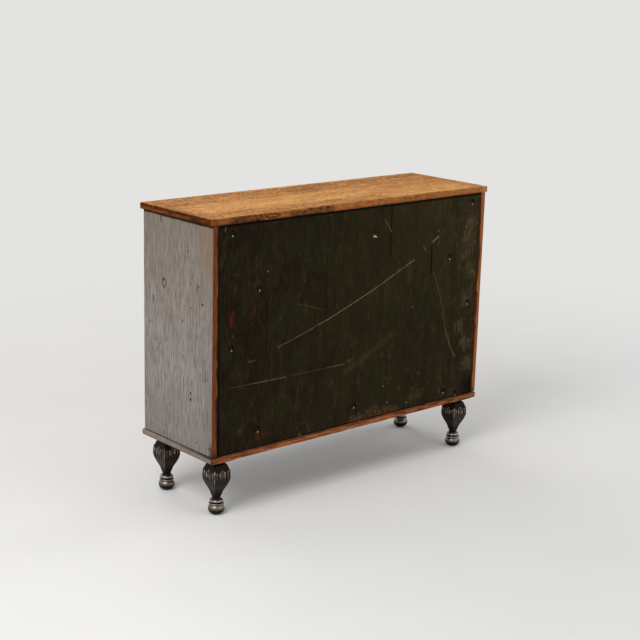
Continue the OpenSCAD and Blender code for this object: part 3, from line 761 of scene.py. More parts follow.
def stained_back(tree, c, spot):
    """Old crate boards with a thin, nearly black stain: upright grain, greenish and rubbed brown patches,
    dust in the pores, a haze of it over scuffs on the left, and scratches down to the wood. Its nails are
    sunk in holes painted black as shade, each with a painted glint of light a little below it. A painted
    shadow runs along its top under the top board and as a wedge beside the right side board, and it is black
    along its foot and in a patch at its lower left corner."""
    x, _, z = add(tree, "SeparateXYZ", spot).outputs
    zone_x, _, zone_z = add(tree, "SeparateXYZ", bent(tree, spot, 230, 70)).outputs
    ragged = bent(tree, spot, 9, 0.9)
    wide, grainy, thread, pores, cloud, moss = streaks(
        tree, spot, "Z", (38, 700, 3.0, 0.0), (6, 90, 4.0, 3.0), (3.0, 34, 3.0, 21.0),
        (2.6, 13, 2.0, 7.0), (26, 60, 4.0, 9.0), (80, 130, 4.0, 15.0))
    low = add(tree, "MapRange", zone_z, Z_FLOOR + 0.40, Z_FLOOR + 0.08)
    high = add(tree, "MapRange", zone_z, Z_FLOOR + 0.30, Z_FLOOR + 0.66)
    lit = thinned(tree, high, zone_x, X_INNER - 0.62, X_INNER - 1.05)
    away = add(tree, "Math SUBTRACT", X_INNER, x)
    scuffs = spots(tree, bent(tree, spot, 24, 16), on_back, BACK_SCUFFS, 0.036)
    haze = thinned(tree, thinned(tree, scuffs, grainy, 0.36, 0.62), away, 0.80, 0.98)
    dusty = add(tree, "MapRange", away, 0.86, 1.08)
    dusty = add(tree, "Math MAXIMUM", dusty, add(tree, "Math MULTIPLY", low, 0.35))
    dusty = add(tree, "Math MULTIPLY_ADD", scuffs, 0.9, dusty)
    dusty = add(tree, "Math MULTIPLY_ADD", dusty, 0.07, pores)
    dusty = add(tree, "Math MULTIPLY_ADD", cloud, 0.35, dusty)
    speck = add(tree, "TexNoise", Vector=spot, Scale=SPECKS, Detail=4.0)
    worn = add(
        tree, "Math MAXIMUM", lines(tree, ragged, on_back, BACK_WEAR, 0.024),
        spots(tree, ragged, on_back, BACK_RUBS, 0.010))
    worn = thinned(tree, worn, speck, 0.62, 0.40)
    rust = lines(tree, bent(tree, spot, 14, 3.0), on_back, BACK_ORANGE, 0.013)
    rust = thinned(tree, rust, thread, 0.60, 0.42)
    breaks = add(tree, "TexNoise", Vector=spot, Scale=BREAKS, Detail=2.0)
    cut = lines(tree, bent(tree, spot, 12, 0.4), on_back, BACK_SCRATCHES, 0.0018)
    cut = thinned(tree, cut, breaks, 0.30, 0.52, 0.4)
    heads = [(low_end + high_end) / 2 * (1, 0, 1) + (0, PANEL_HI[1], 0)
             for low_end, high_end in solids("back_nails")]
    # Painted highlight: a glint of light a little below each nail's middle
    glints = [head - (1.0 * MM, 0, 7.6 * MM) for head in heads]
    corner = spots(tree, bent(tree, spot, 40, 12), on_back, BACK_CORNER, 0.06)
    # Where the painted shadow beside the right side board ends: it leans out, wider lower down
    lean = add(tree, "Math MULTIPLY_ADD", z, -0.013, x)
    inset = X_INNER - 0.013 * (PANEL_HI[2] - 0.1)
    tone = laid(
        tree, c.back_stain, (c.back_green, zone_x, 0.95, X_INNER - 0.05, X_INNER - 0.55),
        (c.back_worn, lit, 0.45), (c.back_brown, low, 0.5), (c.back_moss, moss, 0.50, 0.46, 0.66),
        (c.back_dark, wide, 0.22, 0.50, 0.70), (c.back_dark, grainy, 0.30, 0.52, 0.72),
        (c.back_worn, grainy, 0.15, 0.46, 0.28), (c.back_dark, thread, 0.50, 0.50, 0.70),
        (c.back_worn, thread, 0.26, 0.46, 0.30), (c.back_worn, cloud, 0.22, 0.55, 0.75),
        (c.back_dark, cloud, 0.28, 0.45, 0.28), (c.back_dust, haze, 0.24),
        (c.back_dust, dusty, 0.52, 0.870, 1.00), (c.back_rub, worn, 0.60), (c.raw_red, rust),
        (c.back_worn, lines(tree, ragged, on_back, BACK_SMEAR, 0.017)),
        (c.scratch, spots(tree, ragged, on_back, BACK_SPECKS, 0.0036), 0.5),
        (c.black_dirt_and_shade, lines(tree, ragged, on_back, BACK_SPLITS, 0.0048)),
        (c.back_rub, spots(tree, ragged, on_back, BACK_CHIP[:1], 0.0090), 0.6), (c.scratch, cut),
        (c.chip, lines(tree, ragged, on_back, [(1.0, BACK_CHIP)], 0.0032)),
        # Painted shade: black in the sunk nail holes; below it the painted glints
        (c.black_dirt_and_shade, spots(tree, ragged, tuple, heads, 0.0125)),
        (c.chip, spots(tree, ragged, tuple, glints, 0.0036), 0.55),
        # Painted shadow: a wedge along the edge by the right side board, wider lower down, and a black band
        # under the top; then black along the foot and in the lower left corner
        (c.black_dirt_and_shade, lean, 0.9, inset - 0.005, inset - 0.002),
        (c.black_dirt_and_shade, z, 0.95, PANEL_HI[2] - 0.009, PANEL_HI[2] - 0.004),
        (c.black_dirt_and_shade, z, 0.8, Z_FLOOR + 0.006, Z_FLOOR + 0.002), (c.black_dirt_and_shade, corner, 0.75))
    ridge = add(tree, "Math ADD", grainy, pores)
    height = add(tree, "Math SUBTRACT", ridge, cut)
    close_finish(tree, tone, 0.85, height, 0.5 * MM, specular=0.05)


def old_iron(tree, c, spot, polish):
    """Cast iron with a dark waxed skin: sandy from the mould, darker where the relief is low, which is
    patina in the hollows and painted shade, and bright on the high spots, which is polish and painted
    highlight, as the attribute `relief` says, and in the bands of an attribute of polish and painted
    highlight."""
    sand = add(tree, "TexNoise", Vector=spot, Scale=SAND, Detail=3.0)
    cloud = add(tree, "TexNoise", Vector=spot, Scale=CHIPS, Detail=3.0)
    relief, shine = (add(tree, "Attribute", attribute_name=key).outputs["Fac"]
                     for key in ("relief", "shine"))
    # Polish and painted highlight: the high spots of the relief are laid bright, and so are the bands of
    # painted highlight on the ring, the collar and the ball
    high = add(tree, "MapRange", relief, 0.44, 1.0, 0.0, polish)
    bright = add(tree, "Math MAXIMUM", thinned(tree, high, cloud, 0.35, 0.6), shine)
    tone = laid(
        # Patina and painted shade: where the relief is low the skin is laid darker
        tree, c.iron, (c.iron_rust, cloud, 0.7, 0.45, 0.70), (c.black_dirt_and_shade, relief, 0.7, 0.30, 0.02),
        (c.iron_polish_and_highlight, bright))
    rough = add(tree, "MapRange", bright, 0.0, 1.0, 0.42, 0.20)
    close_finish(tree, tone, rough, sand, 0.1 * MM, metallic=0.85)


def nail_steel(tree, c, spot):
    """Drawn steel wire, hammered and rusted: grey-brown with dark rust."""
    rust = add(tree, "TexNoise", Vector=spot, Scale=RUST, Detail=4.0)
    tone = laid(tree, c.nail, (c.nail_rust, rust, 1.0, 0.42, 0.60))
    close_finish(tree, tone, 0.6, rust, 0.2 * MM, metallic=0.3)


def seen_ray(tree):
    """1 for rays that come straight from the camera or from a glossy surface, 0 for the others."""
    path = add(tree, "LightPath")
    return add(tree, "Math MAXIMUM", path.outputs["Is Camera Ray"], path.outputs["Is Glossy Ray"])


def floor_paint(tree, c, spot):
    """A plain pale studio floor, matt and a little mottled, that goes over into the even tone of the
    backdrop from 1.3 to 3.4 metres out."""
    cloud = add(tree, "TexNoise", Vector=spot, Scale=MOTTLES, Detail=4.0)
    tone = laid(tree, c.floor_dark, (c.floor_pale, cloud))
    matt = add(tree, "BsdfPrincipled", tone, Roughness=0.85, **{"Specular IOR Level": 0.1})
    out = add(tree, "VectorMath LENGTH", spot).outputs["Value"]
    far = add(tree, "MapRange", out, 1.3, 3.4, interpolation_type="SMOOTHSTEP")
    share = add(tree, "Math MULTIPLY", far, seen_ray(tree))
    even = add(tree, "Emission", Color=c.backdrop, Strength=1.0)
    add(tree, "OutputMaterial", add(tree, "MixShader", share, matt, even))


def plain_oak(tree, c, spot):
    """The oak of the drawer fronts, oiled, with grain along their width."""
    tone, height = oak_grain(tree, place(tree, spot), (c.oak_dark, c.oak_mid, c.oak_light), 0.55,
                             rays=(5, 40), force=0.5)
    close_finish(tree, tone, 0.55, height, 0.4 * MM, specular=0.2)


def poplar(tree, c, spot):
    """Plain sawn poplar of the drawers' boards and of the case inside: pale, dry and unfinished, but for
    the front edges of the case's boards, which are oiled with the drawer fronts and dark from hands."""
    tone, height = oak_grain(tree, place(tree, spot), (c.poplar_dark, c.poplar_mid, c.poplar_light), 0.6,
                             along="Y", rays=(4, 60), force=0.25)
    _, y, _ = add(tree, "SeparateXYZ", spot).outputs
    grain = streaks(tree, spot, "X", (5, 30, 3.0, 4.0))[0]
    oiled = laid(tree, c.oak_mid, (c.oak_dark, grain, 1.0, 0.35, 0.65))
    tone = laid(tree, tone, (oiled, y, 0.85, SIDE_LO[1] + 0.003, SIDE_LO[1] + 0.001))
    close_finish(tree, tone, 0.75, height, 0.3 * MM, specular=0.15)


# Castings and fasteners


def swept(rings):
    """Points and quads of a surface given as rings[i, j]: j runs round each ring, and the surface is
    closed by shrinking its first and last rings to a point."""
    n, m, _ = rings.shape
    i, j = np.meshgrid(np.arange(n - 1), np.arange(m), indexing="ij")
    k = (j + 1) % m
    quads = np.stack([i * m + j, (i + 1) * m + j, (i + 1) * m + k, i * m + k], -1)
    return rings.reshape(-1, 3), quads.reshape(-1, 4)


def circle(count):
    """That many angles round a full turn, in radians."""
    return np.linspace(0, 2 * np.pi, count + 1)[:-1]


def arc(x, z, r, start, end, count):
    """Points on an arc in the plane of a profile, angles in degrees from +X towards +Z."""
    a = np.radians(np.linspace(start, end, count))
    return np.stack([x + r * np.cos(a), z + r * np.sin(a)], 1)


FOOT_HEIGHT, FOOT_PLATE = 178, 4


def foot_profile():
    """Half-width against height of a foot in millimetres, from the floor to its plate: pad, ball,
    collar, ring, neck, an even S curve to the belly, a quarter round shoulder and the stem."""
    neck, belly, shoulder, under = 56, 120, 162, FOOT_HEIGHT - FOOT_PLATE
    u = np.linspace(0, 1, 84)[1:]
    rise = np.stack([13 + 17.5 * (1 - np.cos(np.pi * u)) / 2, neck + (belly - neck) * u], 1)
    v = np.sin(np.linspace(0, np.pi / 2, 36)[1:])
    round_over = np.stack([19 + 11.5 * np.sqrt(1 - v * v), belly + (shoulder - belly) * v], 1)
    parts = [[(0, 0), (7, 0), (14.2, 0)], arc(9, 17, 16.5, -67, 49, 26),
             arc(19.3, 33, 3.5, -72, 80, 12), [(16.6, 37.4), (15.4, 38.3)],
             arc(17, 43, 4, -78, 84, 12), [(14.2, 47.6), (13.3, 49.2), (13, 50.6), (13, neck)],
             rise, round_over, [(19, 166), (19, 170), (19, under), (0, under)]]
    return np.concatenate([np.array(p, float) for p in parts])


def leaves(u, w):
    """Height of the cast leaves, 0 to about 1. u runs across a face from -1 to 1, and w up the bulb from
    0 to 1. Seven ribs a face fan out upwards, as they keep their u. Curled tips close them under the
    shoulder, highest on the corners and in the middle, and two volutes curl below the middle one."""
    ridge = 0.5 + 0.5 * np.cos(6 * np.pi * (u + 0.03 * np.sin(2 * np.pi * u)))
    rim = 0.79 + 0.05 * np.cos(2 * np.pi * u)
    body = blend_in(w, 0.0, 0.30) * blend_in(rim + 0.035 - w, 0, 0.05)
    ribs = body * (0.24 + ridge * (0.14 + 0.26 * blend_in(w, 0.35, 0.65)))
    tips = ridge ** 2 * np.exp(-(((w - rim + 0.02) / 0.042) ** 2))
    x, z = (np.abs(u) - 0.20) / 0.17, (w - 0.655) / 0.062
    far = np.hypot(x, z)
    curl = 0.55 + 0.45 * np.cos(2 * np.pi * 1.1 * far - np.arctan2(z, x))
    volute = blend_in(1.15 - far, 0, 0.25) * curl
    midrib = 0.22 * np.exp(-(((1 - np.abs(u)) / 0.10) ** 2)) * body
    return np.clip(ribs + 0.60 * tips + 0.5 * volute + midrib, 0, 1.15)


def foot_surface(middle, relief):
    """A foot below its plate: at each height a square of the profile's half-width whose corners are rounded,
    from a full circle below the neck to nearly sharp on the bulb, pushed out by the cast leaves. Returns the
    surface, the relief, and the polish and painted highlight of its points."""
    profile, per_face = foot_profile(), 56
    # Heights where the bulb starts to be square and is, and of the leaves, the ring and the collar
    round_below, square_above, corner_radius = 50, 70, 2.6
    leaves_from, leaves_to = 64, 160
    ring_z, collar_z = 43.5, 34
    t = (np.arange(per_face) + 0.5) / per_face * 2 - 1
    u = np.sign(t) * (1 - (1 - np.abs(t)) ** 1.25)
    one = np.ones_like(u)
    a, z = profile[:, :1], profile[:, 1:]
    square = np.stack([a * np.concatenate([one, -u, -one, u]), a * np.concatenate([u, one, -u, -one])], -1)
    sharp = blend_in(z, round_below, square_above)
    corner = np.minimum(a * (1 - sharp) + corner_radius * sharp, a)
    centre = np.clip(square, -(a - corner)[..., None], (a - corner)[..., None])
    away = square - centre
    far = np.linalg.norm(away, axis=-1, keepdims=True)
    unit = np.divide(away, far, out=np.zeros_like(away), where=far > 0)
    w = (z - leaves_from) / (leaves_to - leaves_from)
    zone = blend_in(w, 0.0, 0.08) * blend_in(1.0 - w, 0.0, 0.05)
    lift = leaves(np.tile(u, 4)[None, :], np.clip(w, 0, 1)) * zone
    xy = centre + unit * (corner + (lift - 0.35 * zone) * relief / MM)[..., None]
    up = np.broadcast_to(z, xy.shape[:2])[..., None]
    rings = np.concatenate([xy, up], -1) * MM + np.array([middle[0], middle[1], 0])
    # Painted highlight, with polish: bright bands on the ring and the collar, and on the upper part of the
    # ball
    shine = np.exp(-((z - ring_z) / 2.6) ** 2) + 0.5 * np.exp(-((z - collar_z) / 2.0) ** 2)
    shine = (shine + 0.42 * blend_in(z, 13, 25) * blend_in(33 - z, 0, 4)) * np.ones_like(lift)
    return swept(rings), lift.ravel(), np.clip(shine, 0, 1).ravel()


def disc_grid(count):
    """A square grid pressed into a unit disc: x and y are each scaled by the root of one less half the
    other's square."""
    line = np.linspace(-1, 1, count)
    x, y = np.meshgrid(line, line, indexing="ij")
    return np.stack([x * np.sqrt(1 - y * y / 2), y * np.sqrt(1 - x * x / 2)], -1)


def screw_head(radius, height, slot_width, slot_depth, count=15):
    """A slotted, domed head on z = 0 that points up +Z: height falls off as the square of the distance
    from its middle, and a slot is cut across it. Its flat back closes it."""
    disc = disc_grid(count)
    far = np.linalg.norm(disc, axis=-1)
    dome = height * (0.35 + 0.65 * (1 - far ** 2))
    groove = slot_depth * blend_in(slot_width / 2 - np.abs(disc[..., 1]) * radius, -0.08 * slot_width,
                                   0.12 * slot_width)
    top = np.concatenate([disc * radius, (dome - groove)[..., None]], -1)
    under = np.concatenate([disc * radius * 0.96, np.full(far.shape, -0.2 * height)[..., None]], -1)
    n = count
    i, j = np.meshgrid(np.arange(n - 1), np.arange(n - 1), indexing="ij")
    sheet = np.stack([i * n + j, (i + 1) * n + j, (i + 1) * n + j + 1, i * n + j + 1], -1).reshape(-1, 4)
    ring = np.concatenate([np.arange(n) * n, (n - 1) * n + np.arange(1, n),
                           np.arange(n - 2, -1, -1) * n + n - 1, np.arange(n - 2, 0, -1)])
    after = np.roll(ring, -1)
    wall = np.stack([ring, after, after + n * n, ring + n * n], 1)
    points = np.concatenate([top.reshape(-1, 3), under.reshape(-1, 3)])
    return points, np.concatenate([sheet, sheet[:, ::-1] + n * n, wall[:, ::-1]])


def nail_shape(shank, seed):
    """A wire nail that points down from its head's outer face at z = 0: a hammered head, a neck and a
    shank with a point. The head is a little out of round and dished by its own noise."""
    rng = np.random.default_rng(seed)
    profile = np.array([(0, -0.15), (1.2, -0.1), (2.2, -0.05), (2.8, -0.2), (3.0, -0.6), (2.8, -1.1),
                        (1.5, -1.35), (1.4, -2.2), (1.4, -shank + 3), (0, -shank)]) * MM
    turn = circle(14)
    wobble = 1 + 0.05 * np.cos(2 * turn + rng.uniform(0, 6)) + 0.03 * np.cos(3 * turn + rng.uniform(0, 6))
    r, z = profile[:, :1], profile[:, 1:]
    in_head = z > -1.2 * MM
    head = np.where(in_head, wobble[None, :], 1.0)
    tilt = np.where(in_head, 0.05 * r * np.cos(turn + rng.uniform(0, 6))[None, :], 0.0)
    return swept(np.stack([r * head * np.cos(turn), r * head * np.sin(turn), np.minimum(z + tilt, 0.0)], -1))


def facing(points, outward_axis, at):
    """Points built to face +Z, turned to face along an axis and moved to a place."""
    n = np.array(outward_axis, float)
    side = np.array([0, 0, 1.0]) if abs(n[2]) < 0.5 else np.array([0, 1.0, 0])
    u = np.cross(side, n)
    v = np.cross(n, u)
    return points @ np.stack([u, v, n]) + np.array(at)


def cup_surface():
    """The cup of a pull in millimetres: a quarter turn of a capsule, 76 long and 44 across, from the
    plate down to its open front edge, with a bead along that edge and its inner face 2 mm in."""
    half, outer_r, inner_r = 16, 22, 20
    bend = np.radians(np.linspace(-90, 90, 33))

    def span(r):
        """Points across the cup: a quarter turn, a straight and a quarter turn."""
        return np.concatenate([np.stack([-half + r * np.sin(bend[:17]), r * np.cos(bend[:17])], 1),
                               [(x, r) for x in np.linspace(-half, half, 11)[1:-1]],
                               np.stack([half + r * np.sin(bend[16:]), r * np.cos(bend[16:])], 1)])

    def wall(line, r, angle):
        """The points of a line across, turned about the cup's long axis."""
        angle = np.radians(angle)
        return np.stack([np.broadcast_to(line[:, :1], r.shape), -r * np.sin(angle), r * np.cos(angle)], -1)

    outer, inner = span(outer_r), span(inner_r)
    phi = np.linspace(0, 90, 31)
    bead = 1.3 * np.exp(-(((90 - phi) / 5.5) ** 2)) + 0.5 * np.exp(-(((72 - phi) / 3.0) ** 2))
    dip = 1.4 * blend_in(phi, 60, 86)
    fade = np.clip(outer[:, 1:] / 9, 0, 1)
    out_r = outer[:, 1:] + (bead - dip)[None, :] * fade
    in_r = inner[:, 1:] - (dip + 0.3 * bead)[None, ::-1] * fade
    return swept(np.concatenate([wall(outer, out_r, phi), wall(inner, in_r, phi[::-1])], 1))


def plate_surface():
    """The back plate of a pull in millimetres: a stadium 102 by 30 whose rim is bevelled and whose
    face has a raised line round it. It closes on its middle line, front and back."""
    turn = circle(64)
    half = 36
    offsets = np.array([(0, 0), (8, 0), (14.6, 0), (15, -0.3), (15, -1.1), (14.4, -1.8), (13.6, -2.0),
                        (12.9, -2.1), (12.4, -2.6), (11.8, -2.6), (11.3, -2.1), (8, -2.0), (0, -2.0)])
    r, y = offsets[:, :1], offsets[:, 1:]
    x = np.sign(np.cos(turn)) * half + r * np.cos(turn)
    return swept(np.stack([x, np.broadcast_to(y, x.shape), r * np.sin(turn)], -1))


# Lengths of the nails of the case and the back in millimetres, and the first seed of each group
NAILS = (("case_nails", 30, 0), ("back_nails", 20, 100))
# Radius, height, and width and depth of the slot of the screws' heads, in millimetres
FOOT_SCREW, PULL_SCREW = (4.5, 2.4, 1.0, 1.0), (3.8, 1.8, 0.9, 0.8)
# Where a pull's cup and its right screw sit from the middle of the plate, and how far the cup stands
# out, in millimetres
CUP_SEAT, SCREW_SEAT, CUP_DEPTH = np.array([0, -2, -12]), np.array([44.5, -2.1, 0]), 24


# Operators


class CabinetOperator:
    """What every operator of the cabinet shares."""

    bl_options = {"REGISTER", "UNDO"}

    @classmethod
    def poll(cls, context):
        return context.scene is not None


# Square soft lamps: name, place in metres, width in metres and power in watts
LAMPS = [("key", (3.3, 0.9, 3.6), 2.6, 140), ("fill", (-1.6, 4.2, 2.6), 3.2, 42),
         ("front_fill", (-0.5, -4.3, 2.8), 3.2, 58), ("left_fill", (-4.4, 0.4, 2.8), 3.2, 46)]
LAMP_TARGET = Vector((0, 0, 0.5))
# Strength of the soft light that comes from all round
DAYLIGHT = 0.49
# The camera: degrees round from +Y, up and rolled, the point it looks at and its distance in metres
CAMERA_TURNS = (41.556, 14.332, 1.529)
CAMERA_TARGET, CAMERA_DISTANCE, CAMERA_LENS = Vector((0.0032, 0.0138, 0.5028)), 4.6129, 79.73


class CABINET_OT_stage(CabinetOperator, bpy.types.Operator):
    """Lay the floor, hang the lamps and set the camera at the photograph's angle"""

    bl_idname = "cabinet.stage"
    bl_label = "Stage"

    def execute(self, context):
        scene = context.scene
        turn = circle(64)
        reach = np.array([0, 1, 2, 4, 8, 16, 32, 70.0])[:, None]
        disc = np.stack([reach * np.cos(turn), reach * np.sin(turn), np.zeros((8, 64))], -1)
        mesh_object("floor", *swept(disc), finish_named("studio floor", floor_paint))
        for name, at, size, power in LAMPS:
            lamp = bpy.data.lights.new(name, "AREA")
            lamp.size, lamp.energy = size, power
            hung = bpy.data.objects.new(name, lamp)
            hung.location = at
            hung.rotation_mode = "QUATERNION"
            hung.rotation_quaternion = (Vector(at) - LAMP_TARGET).to_track_quat("Z", "Y")
            scene.collection.objects.link(hung)
        scene.world = bpy.data.worlds.new("studio")
        scene.world.use_nodes = True
        tree = scene.world.node_tree
        tree.nodes.clear()
        soft = add(tree, "Background", Color=scene.cabinet_colours.daylight, Strength=DAYLIGHT)
        pale = add(tree, "Background", Color=scene.cabinet_colours.backdrop, Strength=1.0)
        add(tree, "OutputWorld", add(tree, "MixShader", seen_ray(tree), soft, pale))
        self.aim(scene)
        scene.view_settings.view_transform = "Standard"
        return {"FINISHED"}

    def aim(self, scene):
        """Sets the camera on its line of sight and rolls it about that line."""
        yaw, pitch, roll = (math.radians(a) for a in CAMERA_TURNS)
        back = Vector((math.sin(yaw) * math.cos(pitch), math.cos(yaw) * math.cos(pitch),
                       math.sin(pitch)))
        right = (-back).cross(Vector((0, 0, 1))).normalized()
        up = right.cross(-back)
        across = right * math.cos(roll) + up * math.sin(roll)
        over = up * math.cos(roll) - right * math.sin(roll)
        camera = bpy.data.cameras.new("camera")
        camera.sensor_width, camera.lens, camera.clip_end = 36, CAMERA_LENS, 200
        scene.camera = bpy.data.objects.new("camera", camera)
        scene.camera.matrix_world = Matrix.Translation(CAMERA_TARGET + back * CAMERA_DISTANCE) @ Matrix(
            (across, over, back)).transposed().to_4x4()
        scene.collection.objects.link(scene.camera)


class CABINET_OT_top(CabinetOperator, bpy.types.Operator):
    """Make the oak top and its three edging strips, worn at their edges"""

    bl_idname = "cabinet.top"
    bl_label = "Top"

    def execute(self, context):
        sizes = context.scene.cabinet_sizes
        finish = finish_named("oiled oak, top", oak_top)
        joint, hairline = 0.25 * MM, 0.1 * MM
        wear, r = sizes.wear, sizes.top_round
        y_front, width = EDGE_LO[1], TOP_LO[1] - EDGE_LO[1]
        rubbed = 6 * MM

        def knock(p):
            """Rubs the upper back arris of the top down by noise."""
            flat = p * [1, 0, 0]
            rub = wear * (0.5 + 1.6 * np.clip(waves(flat, 70, 31), 0, 1)
                          + 1.2 * np.clip(waves(flat, 16, 32) - 0.35, 0, 1))
            near = blend_in(p[:, 1], Y_BACK - rubbed, Y_BACK) * blend_in(
                p[:, 2], TOP_HI[2] - rubbed, TOP_HI[2])
            return moved(moved(p, 1, p[:, 1] - rub * near), 2, p[:, 2] - rub * near * 0.8)

        def mitre(p):
            """Cuts the front end of the end strip at 45 degrees, and saws its back end off."""
            start = y_front + (X_END - p[:, 0])
            share = (p[:, 1] - y_front) / (Y_BACK - y_front)
            cut = np.where(p[:, 1] > Y_BACK, p[:, 1], start + share * (Y_BACK - start))
            return sawn_back(moved(p, 1, cut), 0.4 * MM, 21)

        def mitre_front(p):
            """Cuts both ends of the front strip at 45 degrees, a hair short of the end strips."""
            return moved(p, 0, p[:, 0] / X_END * (X_END - hairline - (p[:, 1] - y_front)))

        top = board(TOP_LO, TOP_HI, lambda p: np.where(p[:, 1] > Y_BACK - 0.03, sizes.arris, joint),
                    cell=(0.008, 0.012, 0.01), seed=3, steps=5, shape=knock)
        end = board((X_END - width, y_front, EDGE_LO[2]), (X_END, Y_BACK + r, EDGE_HI[2]),
                    lambda p: np.where(p[:, 0] > X_END - width / 2, r, joint), wear=0.4 * wear,
                    cell=(0.006, 0.008, 0.008), seed=5, steps=6, shape=mitre)
        strip = board((-X_END, y_front, EDGE_LO[2]), (X_END, y_front + width, EDGE_HI[2]),
                      lambda p: np.where(p[:, 1] < y_front + width / 2, r, joint), wear=0.4 * wear,
                      cell=(0.008, 0.006, 0.008), seed=8, steps=6, shape=mitre_front)
        ends, whole = 2 * len(end[0]), 2 * len(end[0]) + len(strip[0])
        piece("oak_top", [top], finish, CASE, "top_oak", "top_board")
        piece("edging", [end, mirrored(end), strip], finish, CASE, "edging_oak", "top_edging",
              seed=4, turn=np.arange(whole) < ends, strip=np.ones(whole))
        return {"FINISHED"}


class CABINET_OT_case(CabinetOperator, bpy.types.Operator):
    """Make the painted sides and base, the dark back, and the boards inside the case"""

    bl_idname = "cabinet.case"
    bl_label = "Case"

    def execute(self, context):
        sizes = context.scene.cabinet_sizes
        paint = finish_named("rubbed milk paint, upright", rubbed_paint, "Z")
        paint_flat = finish_named("rubbed milk paint, level", rubbed_paint, "X")

        def opened(p):
            """Lifts the lowest 30 mm of the side from the base, more towards the back."""
            back = blend_in(p[:, 1], SIDE_LO[1] + 0.12, Y_BACK)
            low = np.clip(1 - (p[:, 2] - SIDE_LO[2]) / 0.03, 0, 1)
            return moved(p, 2, p[:, 2] + sizes.lift * back * low)

        right, left = (board(SIDE_LO, SIDE_HI, sizes.arris, wear=sizes.wear, cell=(0.006, 0.007, 0.009),
                             seed=seed, shape=opened) for seed in (11, 17))
        r = sizes.base_round
        base = board(BASE_LO, BASE_HI + [0, r, 0], r, wear=0.2 * sizes.wear, cell=(0.008, 0.012, 0.006),
                     seed=23, steps=7, shape=lambda p: sawn_back(p, 0.9 * MM, 41))
        rail = board(*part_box("front_rail"), 0.6 * MM, wear=0.3 * sizes.wear, cell=(0.012, 0.01, 0.01),
                     seed=29)
        for name, node, part, finish, seed in (
                ("side_right_painted", "side_right", right, paint, 0),
                ("side_left_painted", "side_left", mirrored(left), paint, 2),
                ("base_painted", "base_board", base, paint_flat, 3),
                ("front_rail_painted", "front_rail", rail, paint_flat, 4)):
            piece(name, [part], finish, CASE, "painted_wood", node, seed=seed)
        dress("back_panel", finish_named("stained crate boards, back", stained_back))
        for node in ("uprights", "shelves", "back_rails", "drawer_stops"):
            dress(node, finish_named("sawn poplar", poplar))
        return {"FINISHED"}


class CABINET_OT_nails(CabinetOperator, bpy.types.Operator):
    """Drive the nails of the case and the back, and the screws of the feet"""

    bl_idname = "cabinet.nails"
    bl_label = "Nails and screws"

    def execute(self, context):
        steel = finish_named("rusty steel", nail_steel)
        middle_of_case = np.array([0, 0, 0.5])
        for node, shank, first in NAILS:
            parts = []
            for seed, (low, high) in enumerate(solids(node), first):
                middle, along = (low + high) / 2, int(np.argmax(high - low))
                out = np.zeros(3)
                out[along] = math.copysign(1.0, (middle - middle_of_case)[along])
                at = np.where(out > 0, high, np.where(out < 0, low, middle))
                shape, faces = nail_shape(shank, seed)
                parts.append((facing(shape, out, at), faces))
            piece(node + "_driven", parts, steel, CASE, "nail_steel", node)
        parts = []
        shape, faces = screw_head(*FOOT_SCREW)
        for seed, (low, high) in enumerate(solids("foot_screws")):
            middle = (low + high) / 2
            turn = np.random.default_rng(seed).uniform(0, np.pi)
            spin = np.array([[math.cos(turn), math.sin(turn), 0], [-math.sin(turn), math.cos(turn), 0],
                             [0, 0, 1]])
            seat = (middle[0], middle[1], low[2] + FOOT_SCREW[1] * MM)
            parts.append((facing(shape @ spin * MM, (0, 0, -1), seat), faces))
        piece("foot_screw_heads", parts, steel, CASE, "screw_steel", "foot_screws")
        return {"FINISHED"}


class CABINET_OT_feet(CabinetOperator, bpy.types.Operator):
    """Cast the four iron feet with their leaves"""

    bl_idname = "cabinet.feet"
    bl_label = "Feet"

    def execute(self, context):
        iron = finish_named("waxed cast iron, feet", old_iron, 0.9)
        for node in ("foot_front_left", "foot_front_right", "foot_back_left", "foot_back_right"):
            low, high = corners(node)
            surface, relief, shine = foot_surface((low + high) / 2, context.scene.cabinet_sizes.relief)
            plate = board((low[0], low[1], high[2] - FOOT_PLATE * MM), high, 0.8 * MM,
                          cell=(0.01, 0.01, 0.004), wear=0.2 * MM, seed=51)
            rest = np.zeros(len(plate[0]))
            piece(node + "_cast", [surface, plate], iron, CASE, "foot_iron", node, sharp_deg=60,
                  relief=np.concatenate([relief, rest]), shine=np.concatenate([shine, rest]))
        return {"FINISHED"}


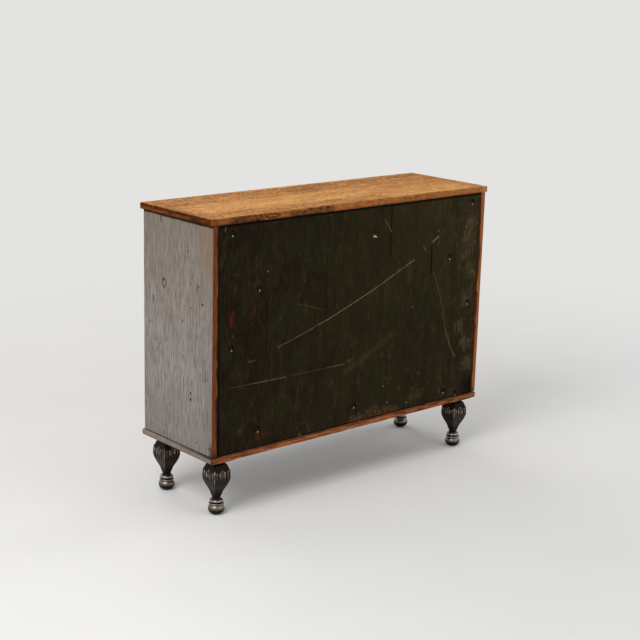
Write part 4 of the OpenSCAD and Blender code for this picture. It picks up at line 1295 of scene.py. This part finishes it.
class CABINET_OT_drawers(CabinetOperator, bpy.types.Operator):
    """Make the drawers: oak fronts, poplar boxes and iron cup pulls"""

    bl_idname = "cabinet.drawers"
    bl_label = "Drawers"

    def execute(self, context):
        sizes = context.scene.cabinet_sizes
        oak_finish = finish_named("oiled oak, fronts", plain_oak)
        box_finish = finish_named("sawn poplar", poplar)
        iron = finish_named("waxed cast iron, pulls", old_iron, 0.4)
        (cup, cup_faces), (plate, plate_faces) = cup_surface(), plate_surface()
        head, head_faces = screw_head(*PULL_SCREW)
        for number in DRAWERS:
            body = f"drawer_{number}"
            low, high = corners(f"drawer_front_{number}")
            front = board(low, high,
                          lambda p: np.where(p[:, 1] < low[1] + 0.009, sizes.front_round, 0.3 * MM),
                          wear=0.25 * sizes.wear, cell=(0.012, 0.01, 0.012), seed=60 + number)
            piece(f"front_{number}_oak", [front], oak_finish, body, "front_oak",
                  f"drawer_front_{number}", seed=60 + number)
            boards = [board(a, b, 0.5 * MM, cell=(0.05, 0.05, 0.05), steps=2)
                      for a, b in self.box_boards(number)]
            piece(f"box_{number}_boards", boards, box_finish, body, "box_wood",
                  f"drawer_box_{number}", seed=90 + number)
            count = 2 if number in WIDE_DRAWERS else 1
            parts = []
            for i in range(count):
                at = np.array([low[0] + (high[0] - low[0]) * (i + 0.5) / count, low[1],
                               (low[2] + high[2]) / 2])
                parts.append((cup * MM + at + CUP_SEAT * MM, cup_faces))
                parts.append((plate * MM + at, plate_faces))
                for side in (-1, 1):
                    seat = at + SCREW_SEAT * [side, 1, 1] * MM
                    parts.append((facing(head * MM, (0, -1, 0), seat), head_faces))
            reach = (low[1] - np.concatenate([points[:, 1] for points, _ in parts])) / (CUP_DEPTH * MM)
            piece(f"pull_{number}_iron", parts, iron, body, "pull_iron", f"drawer_pull_{number}",
                  sharp_deg=50, relief=0.35 + 0.65 * np.clip(reach, 0, 1), shine=np.zeros(len(reach)))
        return {"FINISHED"}

    def box_boards(self, number):
        """Corners of the four boards of a drawer's box: two sides, the back and the bottom."""
        (x0, y0, z0), (x1, y1, z1) = corners(f"drawer_box_{number}")
        thick, gap, up, bottom = 10 * MM, 0.1 * MM, 8 * MM, 6 * MM
        left, right = x0 + thick + gap, x1 - thick - gap
        return [((x0, y0, z0), (x0 + thick, y1, z1)), ((x1 - thick, y0, z0), (x1, y1, z1)),
                ((left, y1 - thick, z0), (right, y1, z1)),
                ((left, y0, z0 + up), (right, y1 - thick - gap, z0 + up + bottom))]


OPERATORS = (CABINET_OT_stage, CABINET_OT_top, CABINET_OT_case, CABINET_OT_nails, CABINET_OT_feet,
             CABINET_OT_drawers)


class CABINET_PT_panel(bpy.types.Panel):
    """The cabinet's sizes, colours and steps"""

    bl_idname = "CABINET_PT_panel"
    bl_label = "Hardware cabinet"
    bl_space_type = "VIEW_3D"
    bl_region_type = "UI"
    bl_category = "Cabinet"

    def draw(self, context):
        for step in OPERATORS:
            self.layout.operator(step.bl_idname)
        for group in (context.scene.cabinet_sizes, context.scene.cabinet_colours):
            for key in group.bl_rna.properties.keys():
                if key not in ("rna_type", "name"):
                    self.layout.prop(group, key)


CLASSES = (CabinetSizes, CabinetColours, *OPERATORS, CABINET_PT_panel)


def register():
    """Registers the classes and hangs the sizes and colours on the scene."""
    for each in CLASSES:
        bpy.utils.register_class(each)
    bpy.types.Scene.cabinet_sizes = bpy.props.PointerProperty(type=CabinetSizes)
    bpy.types.Scene.cabinet_colours = bpy.props.PointerProperty(type=CabinetColours)


def unregister():
    """Takes both away again."""
    del bpy.types.Scene.cabinet_colours
    del bpy.types.Scene.cabinet_sizes
    for each in reversed(CLASSES):
        bpy.utils.unregister_class(each)


def main():
    register()
    for step in OPERATORS:
        group, name = step.bl_idname.split(".")
        getattr(getattr(bpy.ops, group), name)()


if __name__ == "__main__":
    main()
